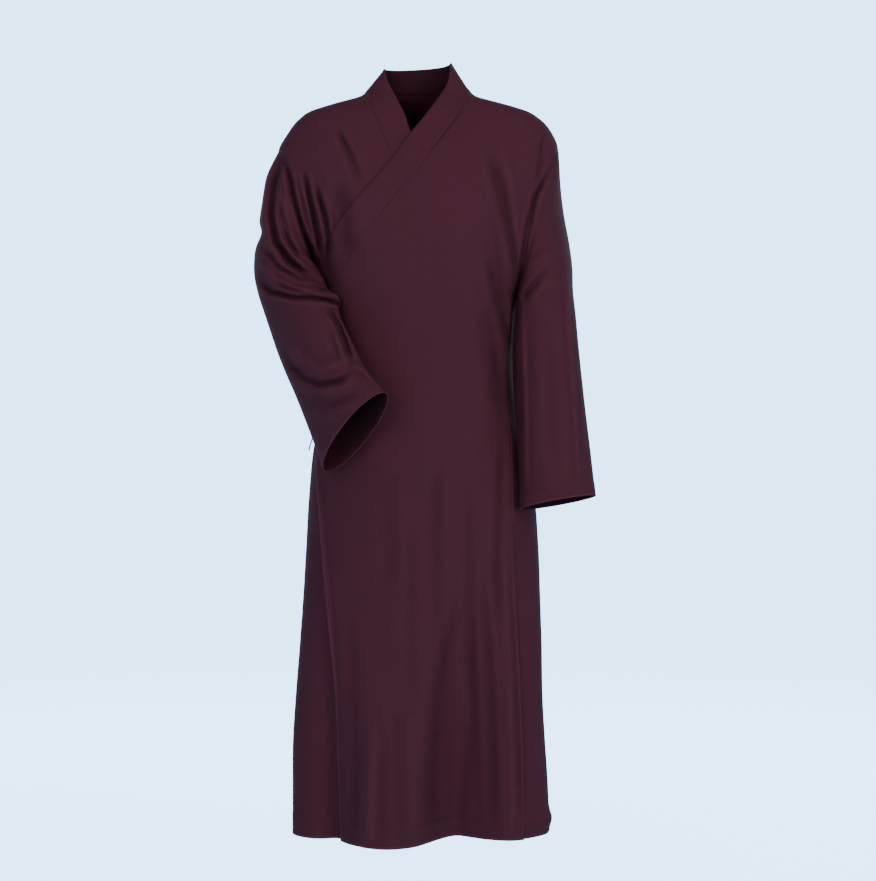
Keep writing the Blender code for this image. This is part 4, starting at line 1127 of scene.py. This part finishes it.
def stitchTree():
    tree = bpy.data.node_groups.new("stitch row", "GeometryNodeTree")
    tree.interface.new_socket(name="Geometry", in_out="INPUT", socket_type="NodeSocketGeometry")
    for name, value in (("Pitch", stitchSizes["pitch"]), ("Length", stitchSizes["length"]),
                        ("Radius", stitchSizes["radius"])):
        socket = tree.interface.new_socket(name=name, in_out="INPUT", socket_type="NodeSocketFloat")
        socket.default_value = value
    tree.interface.new_socket(name="Geometry", in_out="OUTPUT", socket_type="NodeSocketGeometry")
    given, result = tree.nodes.new("NodeGroupInput"), tree.nodes.new("NodeGroupOutput")
    curve = tree.nodes.new("GeometryNodeMeshToCurve")
    spread = tree.nodes.new("GeometryNodeCurveToPoints")
    spread.mode = "LENGTH"
    thread = tree.nodes.new("GeometryNodeMeshCylinder")
    thread.inputs["Vertices"].default_value = 5
    place = tree.nodes.new("GeometryNodeInstanceOnPoints")
    wobble = tree.nodes.new("FunctionNodeRandomValue")
    wobble.data_type = "FLOAT_VECTOR"
    wobble.inputs["Min"].default_value = (0.85, 0.85, 0.82)
    wobble.inputs["Max"].default_value = (1.1, 1.1, 1.08)
    wobble.inputs["Seed"].default_value = 7
    real = tree.nodes.new("GeometryNodeRealizeInstances")
    finish = tree.nodes.new("GeometryNodeSetMaterial")
    finish.inputs["Material"].default_value = threadMaterial
    link = tree.links.new
    link(given.outputs["Geometry"], curve.inputs["Mesh"])
    link(curve.outputs["Curve"], spread.inputs["Curve"])
    link(given.outputs["Pitch"], spread.inputs["Length"])
    link(given.outputs["Radius"], thread.inputs["Radius"])
    link(given.outputs["Length"], thread.inputs["Depth"])
    link(spread.outputs["Points"], place.inputs["Points"])
    link(spread.outputs["Rotation"], place.inputs["Rotation"])
    link(thread.outputs["Mesh"], place.inputs["Instance"])
    link(wobble.outputs["Value"], place.inputs["Scale"])
    link(place.outputs["Instances"], real.inputs["Geometry"])
    link(real.outputs["Geometry"], finish.inputs["Geometry"])
    link(finish.outputs["Geometry"], result.inputs["Geometry"])
    return tree


def makeStitches(name, paths):
    verts, edges = [], []
    for path in paths:
        first = len(verts)
        verts += [tuple(p) for p in path]
        edges += [(first + k, first + k + 1) for k in range(len(path) - 1)]
    mesh = bpy.data.meshes.new(name + " path")
    mesh.from_pydata(verts, edges, [])
    holder = bpy.data.objects.new(name + " path", mesh)
    bpy.context.scene.collection.objects.link(holder)
    rows = holder.modifiers.new("stitches", "NODES")
    rows.node_group = stitches
    for socket in stitches.interface.items_tree:
        if socket.in_out == "INPUT" and socket.name.lower() in stitchSizes:
            rows[socket.identifier] = stitchSizes[socket.name.lower()]
    shown = holder.evaluated_get(bpy.context.evaluated_depsgraph_get())
    made = bpy.data.meshes.new_from_object(shown)
    made.name = name
    bpy.data.objects.remove(holder)
    piece = bpy.data.objects.new(name, made)
    bpy.context.scene.collection.objects.link(piece)
    if not made.materials:
        made.materials.append(threadMaterial)
    return piece


def raised(points, normals, thickness):
    return points + normals * (thickness / 2 + stitchSizes["lift"])


def rowAt(points, normals, distance, thickness=None):
    lengths = np.concatenate((np.zeros((1, points.shape[1])),
                              np.cumsum(np.linalg.norm(np.diff(points, axis=0), axis=2), axis=0)))
    path = []
    lifted = raised(points, normals, wall["cloth"] if thickness is None else thickness)
    for column in range(points.shape[1]):
        path.append([np.interp(distance, lengths[:, column], lifted[:, column, k]) for k in range(3)])
    return np.array(path)


stitches = stitchTree()
paths = []
for points in (outerPoints, innerPoints, backPointsNet):
    normals = netNormals(points, False, np.array((0.0, 0.0, -0.6)))
    paths.append(rowAt(points, normals, 0.034, wall["hem"]))
    for column in (2, -3):
        limit = int(np.argmin(np.abs(points[:, 0, 2] - robe["slitTop"])))
        paths.append(raised(points, normals, wall["cloth"])[:limit, column])
for points, normals in ((leftPoints, leftNormals), (rightPoints, rightNormals)):
    path = rowAt(points[::-1], normals[::-1], 0.022, wall["hem"])
    paths.append(np.vstack((path, path[:1])))
collarNormals = netNormals(collarPoints, False, np.array((0.0, 0.05, -0.2)))
for column in (1, -2):
    paths.append(raised(collarPoints, collarNormals, collarPiece["wall"])[:, column])
threads = makeStitches("robe_stitches", paths)
print("stitches laid", len(threads.data.polygons), "faces")

# --- what each piece stands for, and the cloth it was cut from ---
standsFor = (  # piece, CAD node, slot, width and length of its cut, area of its cut, what it is sewn to
    (frontOuter, "front_outer", "cloth", (0.43, 1.34), 0.460, ["back"]),
    (frontInner, "front_inner", "cloth_inner", (0.345, 1.33), 0.340, ["back"]),
    (back, "back", "cloth", (0.92, 1.34), 0.920, []),
    (sleeveLeft, "sleeve_left", "cloth", (0.60, 0.62), 0.200, ["front_outer", "back"]),
    (sleeveRight, "sleeve_right", "cloth", (0.565, 0.645), 0.205, ["front_inner", "back"]),
    (collar, "collar", "cloth", (0.055, 1.18), 0.056, ["front_outer", "front_inner", "back"]),
    (ties["tie_front"], "tie_front", "cloth_inner", (0.014, 0.25), None, ["front_outer"]),
    (ties["tie_side"], "tie_side", "cloth_inner", (0.014, 0.20), None, ["back"]),
)
for piece, node, slotName, flat, area, sewnTo in standsFor:
    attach(piece, "root")
    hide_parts(node)
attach(threads, "root")
for piece, node, slotName, flat, area, sewnTo in standsFor:
    extra = {} if area is None else dict(area=area)
    if piece is back:
        extra["with_pieces"] = [threads]

# --- floor, backdrop, light and camera ---
stage = dict(floorZ=-1.52, radius=5.2, bend=1.6, height=7.0, steps=96, colour=(0.58, 0.74, 0.88),
             glowColour=(0.37, 0.65, 1.0), glow=0.30, seenGlow=4.6)


def makeSweep():  # the floor rises into a round pale wall, so every side has the same background
    profile = [(0.0, stage["floorZ"]), (stage["radius"] - stage["bend"], stage["floorZ"])]
    for k in range(1, 17):
        angle = math.pi / 2 * k / 16
        profile.append((stage["radius"] - stage["bend"] + stage["bend"] * math.sin(angle),
                        stage["floorZ"] + stage["bend"] - stage["bend"] * math.cos(angle)))
    profile.append((stage["radius"], stage["floorZ"] + stage["height"]))
    around = stage["steps"]
    verts = [(0.0, 0.0, stage["floorZ"])]
    for reach, z in profile[1:]:
        verts += [(reach * math.cos(2 * math.pi * k / around), reach * math.sin(2 * math.pi * k / around), z)
                  for k in range(around)]
    faces = [(0, 1 + k, 1 + (k + 1) % around) for k in range(around)]
    for row in range(len(profile) - 2):
        low, high = 1 + row * around, 1 + (row + 1) * around
        faces += [(low + k, high + k, high + (k + 1) % around, low + (k + 1) % around) for k in range(around)]
    mesh = bpy.data.meshes.new("sweep")
    mesh.from_pydata(verts, [], faces)
    mesh.shade_smooth()
    material = bpy.data.materials.new("pale backdrop")
    material.use_nodes = True
    tree = material.node_tree
    shader = tree.nodes["Principled BSDF"]
    shader.inputs["Base Color"].default_value = (*stage["colour"], 1)
    shader.inputs["Roughness"].default_value = 0.9
    shader.inputs["Specular IOR Level"].default_value = 0.0
    shader.inputs["Emission Color"].default_value = (*stage["glowColour"], 1)
    path = tree.nodes.new("ShaderNodeLightPath")  # looks bright, but lights the cloth only softly
    seen = mathNode(tree, "MULTIPLY", path.outputs["Is Camera Ray"], stage["seenGlow"] - stage["glow"])
    tree.links.new(mathNode(tree, "ADD", seen, stage["glow"]), shader.inputs["Emission Strength"])
    material.cycles.emission_sampling = "NONE"
    mesh.materials.append(material)
    sweep = bpy.data.objects.new("sweep", mesh)
    bpy.context.scene.collection.objects.link(sweep)


def makeLight(name, place, aim, size, power, colour):
    lamp = bpy.data.lights.new(name, "AREA")
    lamp.shape = "RECTANGLE"
    lamp.size, lamp.size_y = size
    lamp.energy = power
    lamp.color = colour
    item = bpy.data.objects.new(name, lamp)
    item.location = place
    item.rotation_euler = (Vector(aim) - Vector(place)).to_track_quat("-Z", "Y").to_euler()
    bpy.context.scene.collection.objects.link(item)


makeSweep()
makeLight("left box", (-1.0, -3.2, 0.1), (0, 0, -0.7), (1.2, 1.8), 47, (1.0, 0.98, 0.97))
makeLight("right box", (1.9, -2.8, 0.25), (0, 0, -0.7), (1.2, 1.8), 69, (1.0, 0.98, 0.97))
makeLight("top box", (0.2, -1.3, 1.9), (0, 0.1, -0.4), (2.0, 1.0), 25, (1.0, 0.99, 0.99))
for hand in (-1, 1):  # two softer ones behind, for the back
    makeLight("back box", (1.7 * hand, 2.9, 0.8), (0, 0, -0.6), (1.4, 1.8), 62, (1.0, 0.98, 0.97))
world = bpy.data.worlds.new("studio")
world.use_nodes = True
world.node_tree.nodes["Background"].inputs["Color"].default_value = (0.80, 0.87, 0.95, 1)
world.node_tree.nodes["Background"].inputs["Strength"].default_value = 0.18
bpy.context.scene.world = world

camera = bpy.data.cameras.new("camera")
camera.lens = view["lens"]
camera.sensor_width = view["sensor"]
cameraObject = bpy.data.objects.new("camera", camera)
cameraObject.location = (view["x"], view["y"], view["z"])
cameraObject.rotation_euler = (math.pi / 2, 0, 0)
bpy.context.scene.collection.objects.link(cameraObject)
bpy.context.scene.camera = cameraObject
